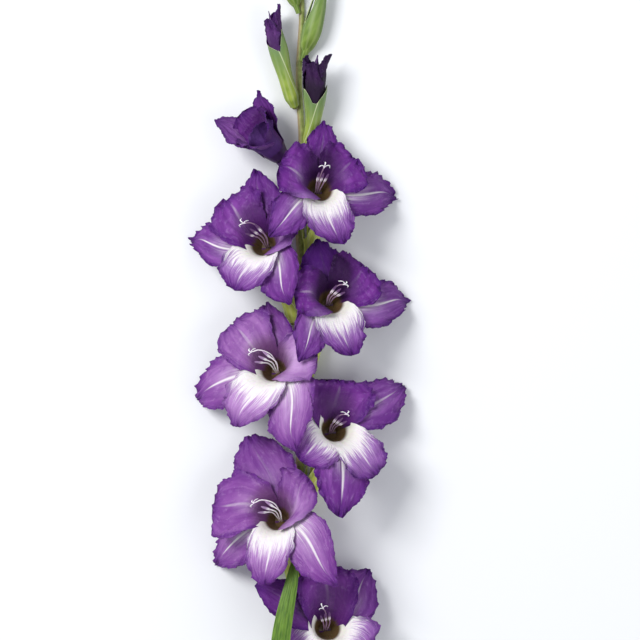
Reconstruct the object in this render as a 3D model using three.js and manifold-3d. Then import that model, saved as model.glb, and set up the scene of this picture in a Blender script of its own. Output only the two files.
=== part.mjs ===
// A cut gladiolus spike lying on its back, blooms up.
// +Y runs along the stalk to its tip, +X to the right, +Z up from the surface it lies on.
// The origin is on the flat underside of the stalk, behind the blooms. Millimetres throughout.
import * as THREE from 'three';
import Module from 'manifold-3d';

const wasm = await Module();
wasm.setup();

// driving dimensions

const gap = 0.35; // between pieces that touch on the real flower
const stalk = {
  cutY: -600,
  tipY: 404,
  cutRadius: 5,
  midY: -200,
  midRadius: 3.8,
  tipRadius: 1.2,
  taper: 2.2,
  sink: 0.12, // part of its radius that its flat underside takes off
  swing: 1.3, // to each side, from node to node
  swingLength: 19,
  sides: 8,
  rings: 21,
};
const tube = {
  neckRadius: 6.5, // outside, where it opens into the throat
  radius: 3.2,
  ovaryRadius: 3.9,
  wall: 1.5, // of the throat
  depth: 15, // of the hollow below the neck
  floorRadius: 3,
  sides: 8,
};
// Where the tepals part: radius of the wall's middle, height above the neck and thickness of the wall.
const openMouth = { radius: 16, height: 18, wall: 2.2 };
const halfOpenMouth = { radius: 11, height: 13, wall: 2.2 };
const tepal = { thickness: 0.85, rootDepth: 2.4, rows: 5 };
const neckZ = 25; // height of an open bloom's neck over the surface
const faceTilt = [0.32, 0.38, 1]; // a bloom's axis: to its side, up the stalk and up
const bract = {
  thickness: 0.8,
  wrap: 2.85, // half-angle it goes round its tube
  root: 0.14, // where the pair parts, along the tube
  outerEnd: 0.66,
  innerEnd: 0.5,
  out: 0.7, // how far its outer lobe turns up from the surface it lies on
  flare: 4, // of its ends, away from the tube
  rows: 3,
  columns: 8,
};
const budBract = { wrap: 2.7, root: 0.14, outerEnd: 0.9, innerEnd: 0.75, out: 0.5, rows: 3, columns: 6 };
// A furled bud: how far along it each of its tepals reaches, and how their ends curl out.
const roll = {
  ends: [1, 0.9, 0.84], start: 0.3, halfWrap: 1.35, twist: 1.1, lap: 1.3, curl: 2.6, room: 2.6, rows: 3, columns: 3,
};
const filament = { radius: 0.75, footRadius: 2, footRoom: 0.6, antherRadius: 1.4, sides: 3, spacing: 1 };
// Points of the style and of the stamens: height over the neck, distance from its middle towards the top
// tepal, and their share of the bloom's lean.
const styleArch = [[6, 4, -0.3], [18, 11, 0.2], [25.5, 16, 0.8], [28, 17.5, 1.1]];
const stamenArch = [[6, 1, -0.3], [15, 4.8, 0.3], [24.5, 10, 1]];
const stamenFan = [2, 3.4, 4.2]; // sideways, of the outer two
const stigma = { from: [26, 16, 0.9], to: [29.5, 18.5, 1.1], spread: 3.8 };
const leaf = { thickness: 0.9, halfWidth: 9, point: 6, channel: 0.03, rows: 12, columns: 4, clasp: 1.6 };

// How each whorl's tepals grow: `root` is how far out of the mouth's wall they stand and `rootSpan` how far
// round it they reach, `rise` their slope there in degrees and `hold` how long they keep it. Then how
// pointed they are, where they begin to narrow, how much they cup, and the waves of their edge.
const outer = {
  columns: 3, root: 0.6, rootSpan: 0.75, rise: 44, hold: 0.24,
  point: 1.1, taper: 0.45, cup: -0.006, wave: 2, waves: 3.2, bow: 0, collar: 0,
};
const inner = {
  columns: 4, root: -0.6, rootSpan: 1.12, rise: 64, hold: 0.36,
  point: 0.5, taper: 0.6, cup: 0.006, wave: 2.4, waves: 3.6, bow: 0, collar: 0,
};
const tipWidth = 0.09; // of a tepal's greatest width
const collarLift = 0.45; // how far a curled margin rises for what it curls in
// `turn` is a tepal's place round the axis, `height` its tip's over the neck, `curl` how it bends back there.
const tepalKinds = {
  top: { ...outer, turn: 0, width: 20, height: 19, curl: 14 },
  upperRight: { ...inner, turn: 60, width: 27, height: 24, curl: 20 },
  lowerRight: { ...outer, turn: 120, width: 20, height: 12, curl: 30 },
  lip: { ...inner, turn: 180, width: 25, height: 19, curl: 28, rise: 52, taper: 0.32, point: 0.62 },
  lowerLeft: { ...outer, turn: 240, width: 20, height: 12, curl: 30 },
  upperLeft: { ...inner, turn: 300, width: 27, height: 24, curl: 20 },
};
const restingCurl = 18; // more, for the tepal that comes down to the surface

// Each open bloom: its side of the stalk, the y of its node, its neck and its six tepal tips, seen from
// above. The tepal named in `resting` comes down to the surface. `lean` turns its stamens and `whorl` its
// tepals' roots, in degrees, and `reach` scales the stamens. `shapes` holds what differs in single tepals:
// `bow` bends one sideways and `collar` curls its margin in over the throat.
const blooms = [
  {
    name: 'bloom_1', side: 1, node: 42, neck: [13.5, 107.5], resting: 'lowerRight', lean: 6, reach: 0.82, whorl: -2,
    tips: {
      top: [20, 170], upperRight: [47, 137], lowerRight: [82, 105],
      lip: [35, 64], lowerLeft: [-26, 70], upperLeft: [-17, 131],
    },
    shapes: {
      top: { width: 16 }, upperRight: { width: 25 }, lowerRight: { width: 22 },
      lip: { bow: -5, turn: 174, width: 23 }, lowerLeft: { width: 18 },
      upperLeft: { width: 26, point: 0.42, collar: 6, turn: 286 },
    },
  },
  {
    name: 'bloom_2', side: -1, node: -4, neck: [-27.5, 61], resting: 'lowerLeft', lean: -41, whorl: 6,
    tips: {
      top: [-37, 129], upperRight: [-9, 92], lowerRight: [-8, 13],
      lip: [-54, 25], lowerLeft: [-94, 68], upperLeft: [-63, 103],
    },
    shapes: { lip: { width: 26 }, upperRight: { width: 21, collar: -5, turn: 72 } },
  },
  {
    name: 'bloom_3', side: 1, node: -55, neck: [23, 12], resting: 'lowerRight', lean: 34, reach: 0.8, whorl: -8,
    tips: {
      top: [14, 69], upperRight: [55, 46], lowerRight: [93, 15],
      lip: [44, -30], lowerLeft: [-1, -35], upperLeft: [-5, 23],
    },
    shapes: {
      lip: { bow: -5, turn: 178, width: 23 }, upperLeft: { width: 24, collar: 6, turn: 288 },
      lowerLeft: { width: 17 }, lowerRight: { width: 22 },
    },
  },
  {
    name: 'bloom_4', side: -1, node: -110, neck: [-19, -45.5], resting: 'lowerLeft', lean: -51, whorl: 8,
    tips: {
      top: [-29, 15], upperRight: [15, -31], lowerRight: [-3, -110],
      lip: [-54, -90], lowerLeft: [-89, -68], upperLeft: [-58, -3],
    },
    shapes: {
      upperLeft: { width: 27 }, upperRight: { width: 24, collar: -6, turn: 72 }, lip: { width: 26, point: 0.8 },
      lowerLeft: { width: 25, point: 0.8 }, lowerRight: { width: 24 },
    },
  },
  {
    name: 'bloom_5', side: 1, node: -166, neck: [25.5, -97], resting: 'top', lean: 33, reach: 0.74, whorl: 58,
    tips: {
      top: [90, -56], upperRight: [65, -131], lowerRight: [34, -166],
      lip: [0, -118], lowerLeft: [4, -66], upperLeft: [34, -51],
    },
    shapes: {
      upperLeft: { width: 33, rootSpan: 1.5 }, top: { width: 22 }, upperRight: { width: 20, turn: 84 },
      lowerRight: { width: 25, point: 0.85 }, lip: { width: 25 },
    },
  },
  {
    name: 'bloom_6', side: -1, node: -230, neck: [-16, -172], resting: 'lowerLeft', lean: -56, whorl: -4,
    tips: {
      top: [-43, -99], upperRight: [6, -133], lowerRight: [31, -223],
      lip: [-30, -223], lowerLeft: [-73, -211], upperLeft: [-74, -158],
    },
    shapes: {
      top: { width: 27, point: 0.7 }, upperRight: { width: 23, collar: -7, turn: 74 }, lip: { width: 22 },
      lowerLeft: { width: 23 }, upperLeft: { width: 31 }, lowerRight: { width: 22 },
    },
  },
  {
    name: 'bloom_7', side: 1, node: -331, neck: [21, -266], neckZ: 19, axis: [0.2, 0.38, 1],
    resting: 'lowerRight', lean: -16, reach: 0.8, whorl: 58,
    tips: {
      top: [60, -214], upperRight: [55, -284], lowerRight: [36, -325],
      lip: [-9, -282, 34], lowerLeft: [-38, -225, 38], upperLeft: [19, -210, 34],
    },
    shapes: { upperLeft: { width: 28, rootSpan: 1.5 }, upperRight: { turn: 80 }, top: { width: 23 } },
    bracts: { ...bract, side: 1, flare: 2 },
  },
];

// The bloom that is only half open: its tips are given with their heights, close together round its axis.
const halfOpen = {
  name: 'bloom_half_open', side: -1, node: 89, neck: [-16, 139], neckZ: 20, axis: [-0.6, 0.65, 0.45], whorl: 0,
  widths: 0.72, rows: 3, columns: 2,
  tips: {
    top: [-36, 196, 26], upperRight: [-31, 180, 42], lowerRight: [-37, 165, 50],
    lip: [-54, 151, 38], lowerLeft: [-73, 171, 22], upperLeft: [-50, 177, 22],
  },
  common: { rise: 80, hold: 0.42, curl: -45, wave: 1.2 }, // of all its tepals
  shapes: { lowerRight: { width: 27 }, lowerLeft: { width: 24 } },
  bracts: { ...bract, side: 1, outerEnd: 0.88, innerEnd: 0.6, out: -0.3, flare: 2 },
};

// Furled coloured buds: node, tip and greatest radius of the roll, and the bracts round it.
const colouredBuds = [
  {
    name: 'bud_left', side: -1, node: 182, tip: [-28, 268, 22], radius: 6.8,
    bracts: { ...bract, side: -1, root: 0.5, outerEnd: 0.62, innerEnd: 0.74, out: 0.1, flare: 0 },
  },
  {
    name: 'bud_right', side: 1, node: 145, tip: [16, 230, 26], radius: 9.5,
    bracts: { ...bract, side: 1, root: 0.38, outerEnd: 0.64, innerEnd: 0.6, out: -0.15, flare: 0 },
  },
];

// Green buds, still closed in their bracts: side, node, length and greatest radius.
const greenBuds = [
  { name: 'green_bud_1', side: 1, node: 223, length: 84, radius: 9.5 },
  { name: 'green_bud_2', side: -1, node: 264, length: 66, radius: 8 },
  { name: 'green_bud_3', side: 1, node: 300, length: 50, radius: 6 },
  { name: 'green_bud_4', side: -1, node: 332, length: 38, radius: 4.8 },
  { name: 'green_bud_5', side: 1, node: 360, length: 28, radius: 3.6 },
];

// Strap leaves: where each clasps the stalk, how long it hugs it, and the points its blade then passes.
const leaves = [
  {
    name: 'leaf_front', from: -468, hug: 35,
    blade: [[-5, -395, 27], [-17, -335, 53], [-16, -270, 59], [-6, -216, 54], [-2, -192, 46]],
  },
  {
    name: 'leaf_left', from: -530, hug: 40,
    blade: [[-10, -445, 30], [-34, -400, 42], [-66, -345, 30], [-92, -296, 2]],
  },
  {
    name: 'leaf_right', from: -592, hug: 40,
    blade: [[10, -505, 30], [34, -440, 44], [64, -370, 34], [88, -300, 2]],
  },
];

// materials

const finish = {
  petal: new THREE.MeshStandardMaterial({ color: 0x6a3a9a, roughness: 0.6, metalness: 0 }),
  stamen: new THREE.MeshStandardMaterial({ color: 0xe6d8ee, roughness: 0.55, metalness: 0 }),
  bud: new THREE.MeshStandardMaterial({ color: 0x3a1c58, roughness: 0.55, metalness: 0 }),
  bract: new THREE.MeshStandardMaterial({ color: 0x6f9a3a, roughness: 0.5, metalness: 0 }),
  stalk: new THREE.MeshStandardMaterial({ color: 0x93a84a, roughness: 0.5, metalness: 0 }),
  leaf: new THREE.MeshStandardMaterial({ color: 0x5f9a33, roughness: 0.5, metalness: 0 }),
};

// small helpers

const vector = (x, y, z) => new THREE.Vector3(x, y, z);
const radians = THREE.MathUtils.degToRad;
const lerp = THREE.MathUtils.lerp;
const smoothstep = THREE.MathUtils.smoothstep;
const clamp = THREE.MathUtils.clamp;

// A number from 0 to 1 that is always the same for the same seed.
function draw(seed) {
  const value = Math.sin(seed * 12.9898 + 4.137) * 43758.5453;
  return value - Math.floor(value);
}

function bezier(s, a, b, c, d) {
  const r = 1 - s;
  return r * r * r * a + 3 * r * r * s * b + 3 * r * s * s * c + s * s * s * d;
}

// The part of a direction that is square to another, at length 1.
function squareTo(direction, other) {
  return direction.clone().addScaledVector(other, -direction.dot(other)).normalize();
}

// A solid from points and triangles, turned the right way out.
function solidOf(points, faces) {
  const side = vector();
  const volume = faces.reduce(
    (sum, [a, b, c]) => sum + points[a].dot(side.crossVectors(points[b], points[c])),
    0,
  );
  const turned = volume > 0 ? faces : faces.map(([a, b, c]) => [a, c, b]);
  const mesh = new wasm.Mesh({
    numProp: 3,
    vertProperties: new Float32Array(points.flatMap((p) => [p.x, p.y, p.z])),
    triVerts: new Uint32Array(turned.flat()),
  });
  return new wasm.Manifold(mesh);
}

function unite(solids) {
  return solids.reduce((all, next) => all.add(next));
}

// The largest body of a solid that a cut may have left in several.
function largest(solid) {
  return solid.decompose().reduce((best, next) => (next.volume() > best.volume() ? next : best));
}

// A closed body through rings of points, its two ends closed by fans.
function loft(rings) {
  const sides = rings[0].length;
  const points = rings.flat();
  const faces = [];
  for (let i = 0; i < rings.length - 1; i += 1) {
    const next = i + 1;
    for (let j = 0; j < sides; j += 1) {
      const k = (j + 1) % sides;
      const [a, b, c, d] = [i * sides + j, i * sides + k, next * sides + j, next * sides + k];
      faces.push([a, b, d], [a, d, c]);
    }
  }
  for (const [end, turn] of [[0, false], [rings.length - 1, true]]) {
    const middle = points.length;
    points.push(rings[end].reduce((sum, p) => sum.add(p), vector()).divideScalar(sides));
    for (let j = 0; j < sides; j += 1) {
      const [a, b] = [end * sides + j, end * sides + ((j + 1) % sides)];
      faces.push(turn ? [middle, a, b] : [middle, b, a]);
    }
  }
  return solidOf(points, faces);
}

// A ring of points of one radius round a centre, square to a direction.
function ring(centre, direction, radius, sides) {
  const across = squareTo(vector(1, 0, 0), direction);
  const beside = vector().crossVectors(direction, across);
  return Array.from({ length: sides }, (_, j) => {
    const angle = (2 * Math.PI * j) / sides;
    return centre.clone()
      .addScaledVector(across, radius * Math.cos(angle))
      .addScaledVector(beside, radius * Math.sin(angle));
  });
}

// A round bar along a curve, with its radii at even steps.
function bar(curve, radii, sides) {
  const steps = radii.length - 1;
  const ringAt = (radius, i) => ring(curve.getPoint(i / steps), curve.getTangent(i / steps), radius, sides);
  return loft(radii.map(ringAt));
}

// A sheet of even thickness round surface(s, t): s runs along it from 0 to 1, t across it from -1 to 1.
function sheet(surface, rows, columns, thickness) {
  const step = 0.001;
  const points = [];
  for (const face of [0.5, -0.5]) {
    for (let i = 0; i <= rows; i += 1) {
      for (let j = 0; j <= columns; j += 1) {
        const s = i / rows;
        const t = (2 * j) / columns - 1;
        const along = surface(Math.min(s + step, 1), t).sub(surface(Math.max(s - step, 0), t));
        const over = surface(s, Math.min(t + step, 1)).sub(surface(s, Math.max(t - step, -1)));
        const normal = along.cross(over).normalize();
        points.push(surface(s, t).addScaledVector(normal, thickness * face));
      }
    }
  }
  const back = (rows + 1) * (columns + 1);
  const at = (i, j) => i * (columns + 1) + j;
  const faces = [];
  for (let i = 0; i < rows; i += 1) {
    for (let j = 0; j < columns; j += 1) {
      const [a, b, c, d] = [at(i, j), at(i, j + 1), at(i + 1, j), at(i + 1, j + 1)];
      faces.push([a, b, d], [a, d, c], [back + a, back + d, back + b], [back + a, back + c, back + d]);
    }
  }
  const close = (a, b) => faces.push([b, a, back + a], [b, back + a, back + b]);
  for (let i = 0; i < rows; i += 1) {
    close(at(i + 1, 0), at(i, 0));
    close(at(i, columns), at(i + 1, columns));
  }
  for (let j = 0; j < columns; j += 1) {
    close(at(0, j), at(0, j + 1));
    close(at(rows, j + 1), at(rows, j));
  }
  return solidOf(points, faces);
}

// the stalk

function stalkRadius(y) {
  if (y < stalk.midY) {
    return lerp(stalk.cutRadius, stalk.midRadius, smoothstep(y, stalk.cutY, stalk.midY));
  }
  const along = (y - stalk.midY) / (stalk.tipY - stalk.midY);
  return lerp(stalk.midRadius, stalk.tipRadius, Math.pow(along, stalk.taper));
}

// It leans a little from node to node.
function stalkX(y) {
  return stalk.swing * Math.sin(y / stalk.swingLength) * smoothstep(y, -420, -300);
}

function stalkHeight(y) {
  return stalkRadius(y) * (1 - stalk.sink);
}

// The stalk, or the room it takes with a gap all round. Its underside is flat, on the surface.
function stalkSolid(room) {
  const all = [];
  for (let i = 0; i <= stalk.rings; i += 1) {
    const y = lerp(stalk.cutY, stalk.tipY, i / stalk.rings);
    const radius = stalkRadius(y) + room;
    const points = [];
    for (let j = 0; j < stalk.sides; j += 1) {
      const angle = (2 * Math.PI * (j + 0.5)) / stalk.sides - Math.PI / 2;
      const z = Math.max(stalkHeight(y) + radius * Math.sin(angle), -room);
      points.push(vector(stalkX(y) + radius * Math.cos(angle), y, z));
    }
    all.push(points);
  }
  return loft(all);
}

// tubes and bracts

// Where a tube leaves the stalk's upper flank.
function nodePoint({ side, node }, clearance) {
  const offset = stalkRadius(node) * 0.75 + clearance;
  return vector(stalkX(node) + side * offset, node, stalkHeight(node) + offset);
}

// The path of a bloom's tube from its node to its neck.
function tubePath(bloom, { origin, axis }) {
  const start = nodePoint(bloom, tube.ovaryRadius * 0.6);
  const reach = start.distanceTo(origin);
  const leave = vector(bloom.side * 0.22, 0.95, 0.12).normalize();
  return new THREE.CubicBezierCurve3(
    start,
    start.clone().addScaledVector(leave, reach * 0.55),
    origin.clone().addScaledVector(axis, -reach * 0.36),
    origin,
  );
}

function tubeRadius(s) {
  const ovary = lerp(tube.ovaryRadius, tube.radius, smoothstep(s, 0.1, 0.3));
  return lerp(ovary, tube.neckRadius, smoothstep(s, 0.45, 1));
}

// The ovary, the tube and the throat, hollow from its floor to its rim.
function tubeSolid(path, { origin, axis }, mouth) {
  const ringAt = (s, radius) => ring(path.getPoint(s), path.getTangent(s), radius, tube.sides);
  const ringOver = (height, radius) =>
    ring(origin.clone().addScaledVector(axis, height), axis, radius, tube.sides);
  const ringDown = (depth, radius) => {
    const s = 1 - depth / path.getLength();
    return ring(path.getPointAt(s), path.getTangentAt(s), radius, tube.sides);
  };
  const rise = radians(inner.rise);
  const lean = (mouth.wall / 2) * Math.sin(rise);
  const lift = (mouth.wall / 2) * Math.cos(rise);
  const middle = lerp(tube.neckRadius, mouth.radius, 0.45);
  return loft([
    ringAt(0, tube.ovaryRadius * 0.6),
    ...[0.06, 0.25, 0.5, 0.8, 1].map((s) => ringAt(s, tubeRadius(s))),
    ringOver(mouth.height / 2, middle + mouth.wall / 2),
    ringOver(mouth.height - lift, mouth.radius + lean),
    ringOver(mouth.height + lift, mouth.radius - lean),
    ringOver(mouth.height / 2, middle - mouth.wall / 2),
    ringOver(0, tube.neckRadius - tube.wall),
    ringDown(tube.depth * 0.45, lerp(tube.neckRadius - tube.wall, tube.floorRadius, 0.45)),
    ringDown(tube.depth, tube.floorRadius),
  ]);
}

// How far a pair of bracts reaches at an angle round its tube: an outer one, and an inner one, cleft at its
// tip, joined to it low down on both sides.
function bractReach(angle, { wrap, root, outerEnd, innerEnd }) {
  const turn = Math.abs(angle);
  const outerLobe = Math.pow(Math.max(0, 1 - turn / 1.9), 0.8);
  const innerLobe = Math.pow(smoothstep(turn, 1.45, wrap), 0.7);
  return root + (outerEnd - root) * outerLobe + (innerEnd - root) * innerLobe;
}

// The pair of bracts round a tube or a bud: one sheet, joined at its root.
function bractSolid(path, radiusAt, shape) {
  const away = vector(shape.side, 0, shape.out);
  const chord = Math.cos(shape.wrap / shape.columns);
  const surface = (s, t) => {
    const angle = t * shape.wrap;
    const at = lerp(0.02, bractReach(angle, shape), s);
    const direction = path.getTangent(at);
    const out = squareTo(away, direction);
    const beside = vector().crossVectors(direction, out);
    const inside = Math.max(radiusAt(at), radiusAt(0.06)) + gap + shape.thickness / 2;
    const radius = inside / chord + 0.3 + shape.flare * s * s;
    return path.getPoint(at)
      .addScaledVector(out, radius * Math.cos(angle))
      .addScaledVector(beside, radius * Math.sin(angle));
  };
  return sheet(surface, shape.rows, shape.columns, shape.thickness);
}

// a bloom

// Its neck and its axes: `axis` looks out of the throat, `up` lies along the stalk.
function bloomFrame({ side, neck, neckZ: ownZ, axis: ownAxis }) {
  const [outward, upward, over] = faceTilt;
  const axis = vector(...(ownAxis ?? [side * outward, upward, over])).normalize();
  const up = squareTo(vector(0, 1, 0), axis);
  const right = vector().crossVectors(up, axis);
  return { origin: vector(neck[0], neck[1], ownZ ?? neckZ), axis, up, right };
}

// A direction's angle round the bloom's axis, clockwise from up.
function turnOf({ up, right }, offset) {
  return Math.atan2(offset.dot(right), offset.dot(up));
}

// The nearest equal of an angle to another.
function nearAngle(angle, other) {
  return angle - 2 * Math.PI * Math.round((angle - other) / (2 * Math.PI));
}

// The surface of one tepal, from its root in the throat's wall to its tip.
function tepalSurface(frame, mouth, kind, tip, whorlTurn, seed) {
  const { origin, axis, up, right } = frame;
  const offset = tip.clone().sub(origin);
  const height = offset.dot(axis);
  const reach = offset.clone().addScaledVector(axis, -height).length();
  const rootTurn = radians(kind.turn) + whorlTurn;
  const tipTurn = nearAngle(turnOf(frame, offset), rootTurn);
  const rise = radians(kind.rise);
  const curl = radians(kind.curl);
  const rootR = mouth.radius + kind.root - tepal.rootDepth * Math.cos(rise);
  const rootH = mouth.height - tepal.rootDepth * Math.sin(rise);
  const length = Math.hypot(reach - rootR, height - rootH);
  const hold = length * kind.hold;
  const bend = length * 0.4;
  const r = [rootR, rootR + hold * Math.cos(rise), reach - bend * Math.cos(curl), reach];
  const h = [rootH, rootH + hold * Math.sin(rise), height + bend * Math.sin(curl), height];
  const rootWidth = (mouth.radius + kind.root) * kind.rootSpan;
  const phase = 2 * Math.PI * draw(seed);
  const lean = (draw(seed + 0.5) - 0.5) * 4;
  return (s, t) => {
    const step = 0.002;
    const radius = bezier(s, ...r);
    const slopeR = bezier(s + step, ...r) - bezier(s - step, ...r);
    const slopeH = bezier(s + step, ...h) - bezier(s - step, ...h);
    const slope = Math.hypot(slopeR, slopeH);
    const end = Math.max(0, (s - kind.taper) / (1 - kind.taper));
    const swell = lerp(rootWidth, kind.width, smoothstep(s, 0, kind.taper));
    const q = t * swell * lerp(tipWidth, 1, Math.pow(1 - end * end, kind.point));
    const ripple = Math.sin(2 * Math.PI * kind.waves * s + phase + (t > 0 ? 2.1 : 0));
    const wave = kind.wave * Math.pow(s, 1.2) * t * t * smoothstep(s, 0.1, 0.4);
    const lift = (kind.cup * q * q) / 2 + wave * ripple;
    const turn = lerp(rootTurn, tipTurn, smoothstep(s, 0, 0.85));
    const outward = up.clone().multiplyScalar(Math.cos(turn)).addScaledVector(right, Math.sin(turn));
    const across = vector().crossVectors(axis, outward);
    const open = smoothstep(s, 0.15, 0.75); // from lying round the throat to lying flat
    const margin = smoothstep(t * Math.sign(kind.collar), 0.15, 0.85);
    const held = smoothstep(s, -0.04, 0.14) * (1 - smoothstep(s, 0.2, 0.7));
    const collar = Math.abs(kind.collar) * margin * held;
    const alongR = lerp(radius * Math.cos(q / radius), radius, open) - (slopeH / slope) * lift - collar;
    const alongQ = lerp(radius * Math.sin(q / radius), q, open) + (lean + kind.bow) * Math.sin(Math.PI * s);
    return origin.clone()
      .addScaledVector(outward, alongR)
      .addScaledVector(axis, bezier(s, ...h) + (slopeR / slope) * lift + collarLift * collar)
      .addScaledVector(across, alongQ);
  };
}

// A tepal's tip: over its point seen from above, at the height it is given or at its kind's height.
function tepalTip({ tips }, { origin, axis }, name) {
  const [x, y, ownZ] = tips[name];
  const slope = (x - origin.x) * axis.x + (y - origin.y) * axis.y;
  return vector(x, y, ownZ ?? origin.z + (tepalKinds[name].height - slope) / axis.z);
}

// Brings a tip down until the lowest point of its tepal is just over the surface.
function lowerToRest(tip, surfaceOf) {
  tip.z = 4;
  for (let pass = 0; pass < 4; pass += 1) {
    const surface = surfaceOf(tip);
    let lowest = Infinity;
    for (let i = 0; i <= 14; i += 1) {
      for (let j = -4; j <= 4; j += 1) {
        lowest = Math.min(lowest, surface(i / 14, j / 4).z);
      }
    }
    tip.z += tepal.thickness / 2 + 0.15 - lowest;
  }
}

function perianthSolid(bloom, frame, path, mouth, index) {
  const whorlTurn = radians(bloom.whorl);
  const tepals = Object.entries(tepalKinds).map(([name, common], i) => {
    const kind = { ...common, ...bloom.common, ...bloom.shapes[name] };
    kind.width *= bloom.widths ?? 1;
    const tip = tepalTip(bloom, frame, name);
    const surfaceOf = (point) => tepalSurface(frame, mouth, kind, point, whorlTurn, index * 7 + i);
    if (name === bloom.resting) {
      kind.curl += restingCurl;
      lowerToRest(tip, surfaceOf);
    }
    return sheet(surfaceOf(tip), bloom.rows ?? tepal.rows, bloom.columns ?? kind.columns, tepal.thickness);
  });
  return unite([tubeSolid(path, frame, mouth), ...tepals]);
}

// Three stamens and a three-branched style, rising together from the throat's floor.
function stamenSolid({ origin, axis, up, right }, path, { lean, reach = 1 }) {
  // The directions towards the top tepal and across it, after a share of the lean.
  const leaning = (share) => {
    const turn = radians(lean) * share;
    const forward = up.clone().multiplyScalar(Math.cos(turn)).addScaledVector(right, Math.sin(turn));
    return { forward, aside: vector().crossVectors(forward, axis) };
  };
  const over = ([height, distance, share], sideways) => {
    const { forward, aside } = leaning(share);
    return origin.clone()
      .addScaledVector(axis, reach * height)
      .addScaledVector(forward, reach * distance)
      .addScaledVector(aside, reach * sideways);
  };
  const { forward: ahead, aside: beside } = leaning(1);
  const below = (depth, distance, sideways) => {
    const centre = path.getPointAt(1 - depth / path.getLength());
    return centre.addScaledVector(ahead, distance).addScaledVector(beside, sideways);
  };
  const thin = filament.radius;
  const spread = filament.spacing;
  const style = new THREE.CatmullRomCurve3([
    below(tube.depth - filament.footRoom, 0, 0),
    below(tube.depth / 2, spread, 0),
    ...styleArch.map((point) => over(point, 0)),
  ]);
  const solids = [bar(style, [filament.footRadius, thin, thin, thin, thin, thin * 1.2], 4)];
  for (const i of [-1, 0, 1]) {
    const lower = i === 0 ? -spread : -spread * 0.4;
    const stamen = new THREE.CatmullRomCurve3([
      below(tube.depth - 2 * filament.footRoom, lower * 0.8, spread * i * 0.8),
      below(tube.depth / 3, lower, spread * 1.4 * i),
      ...stamenArch.map((point, step) => over(point, stamenFan[step] * i)),
    ]);
    solids.push(bar(stamen, [thin, thin, thin, filament.antherRadius, thin], filament.sides));
  }
  for (const i of [-1, 1]) {
    const branch = new THREE.LineCurve3(over(stigma.from, 0), over(stigma.to, stigma.spread * i));
    solids.push(bar(branch, [thin * 0.8, thin * 1.3], 3));
  }
  return unite(solids);
}

// buds and leaves

function budPath(bud) {
  const start = nodePoint(bud, tube.ovaryRadius * 0.4);
  const tip = vector(...bud.tip);
  const reach = start.distanceTo(tip);
  return new THREE.CubicBezierCurve3(
    start,
    start.clone().addScaledVector(vector(bud.side * 0.35, 0.95, 0.4).normalize(), reach * 0.4),
    tip.clone().addScaledVector(vector(-bud.side * 0.25, -0.95, -0.1).normalize(), reach * 0.3),
    tip,
  );
}

// The radius of a furled bud along its path: a short tube, the swollen roll and its point.
function rollRadius(bud, s) {
  const swollen = lerp(tube.ovaryRadius, bud.radius - 1.6, smoothstep(s, 0.15, 0.85));
  return swollen * Math.pow(Math.max(0, 1 - Math.pow(s, 5)), 0.5) + 0.9;
}

// Three tepals rolled over each other round a slim core.
function rollSolid(bud, path, seed) {
  const coreRadius = (s) => rollRadius(bud, s) - lerp(0.9, 2.6, smoothstep(s, 0.3, 0.5)) * (1 - s * s * 0.8);
  const core = bar(path, [0, 0.2, 0.4, 0.6, 0.8, 0.95].map(coreRadius), 7);
  const sheets = roll.ends.map((end, i) => {
    const surface = (s, t) => {
      const at = lerp(roll.start, end, s);
      const direction = path.getTangent(at);
      const out = squareTo(vector(0, 0, 1), direction);
      const beside = vector().crossVectors(direction, out);
      const place = (2 * Math.PI * i) / roll.ends.length + draw(seed) + roll.twist * s;
      const narrowed = lerp(1, 0.12, Math.pow(clamp((s - 0.35) / 0.65, 0, 1), 0.9));
      const angle = place + roll.halfWrap * t * narrowed;
      const lap = roll.lap * (t + 1) * smoothstep(s, 0, 0.7);
      const sunk = lerp(1.5, 0.2, smoothstep(s, 0, 0.3));
      const curled = roll.curl * Math.pow(smoothstep(s, 0.72, 1.05), 2) * (1 - 0.5 * t * t);
      const radius = rollRadius(bud, at) - sunk + lap + curled;
      return path.getPoint(at)
        .addScaledVector(out, radius * Math.cos(angle))
        .addScaledVector(beside, radius * Math.sin(angle));
    };
    return sheet(surface, roll.rows, roll.columns, tepal.thickness);
  });
  return unite([core, ...sheets]);
}

// A closed green bud: two bracts, one over the other, round a core of the same green.
function greenBudSolid(bud) {
  const start = nodePoint(bud, 0.8);
  const end = start.clone().add(vector(bud.side * bud.length * 0.24, bud.length, bud.length * 0.12));
  const middle = start.clone().lerp(end, 0.5).add(vector(bud.side * bud.length * 0.06, 0, bud.length * 0.05));
  const path = new THREE.QuadraticBezierCurve3(start, middle, end);
  const point = (s) => Math.pow(1 - s * s * 0.985, 0.9);
  const radiusAt = (s) => 0.8 * bud.radius * lerp(0.45, 1, smoothstep(s, 0, 0.35)) * point(s);
  const coreRadius = (s) => radiusAt(s) * lerp(1, 0.75, smoothstep(s, 0, 0.3));
  const core = bar(path, [0, 0.3, 0.6, 0.93].map(coreRadius), 5);
  const away = vector(bud.side * budBract.out, 0, 1);
  const surface = (s, t) => {
    const angle = t * budBract.wrap;
    const at = lerp(0.05, bractReach(angle, budBract), s);
    const direction = path.getTangent(at);
    const out = squareTo(away, direction);
    const beside = vector().crossVectors(direction, out);
    const radius = radiusAt(at) * lerp(0.5, 1.12, smoothstep(s, 0, 0.3)) + 0.5 * smoothstep(s, 0, 0.3);
    return path.getPoint(at)
      .addScaledVector(out, radius * Math.cos(angle))
      .addScaledVector(beside, radius * Math.sin(angle));
  };
  return core.add(sheet(surface, budBract.rows, budBract.columns, bract.thickness));
}

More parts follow.
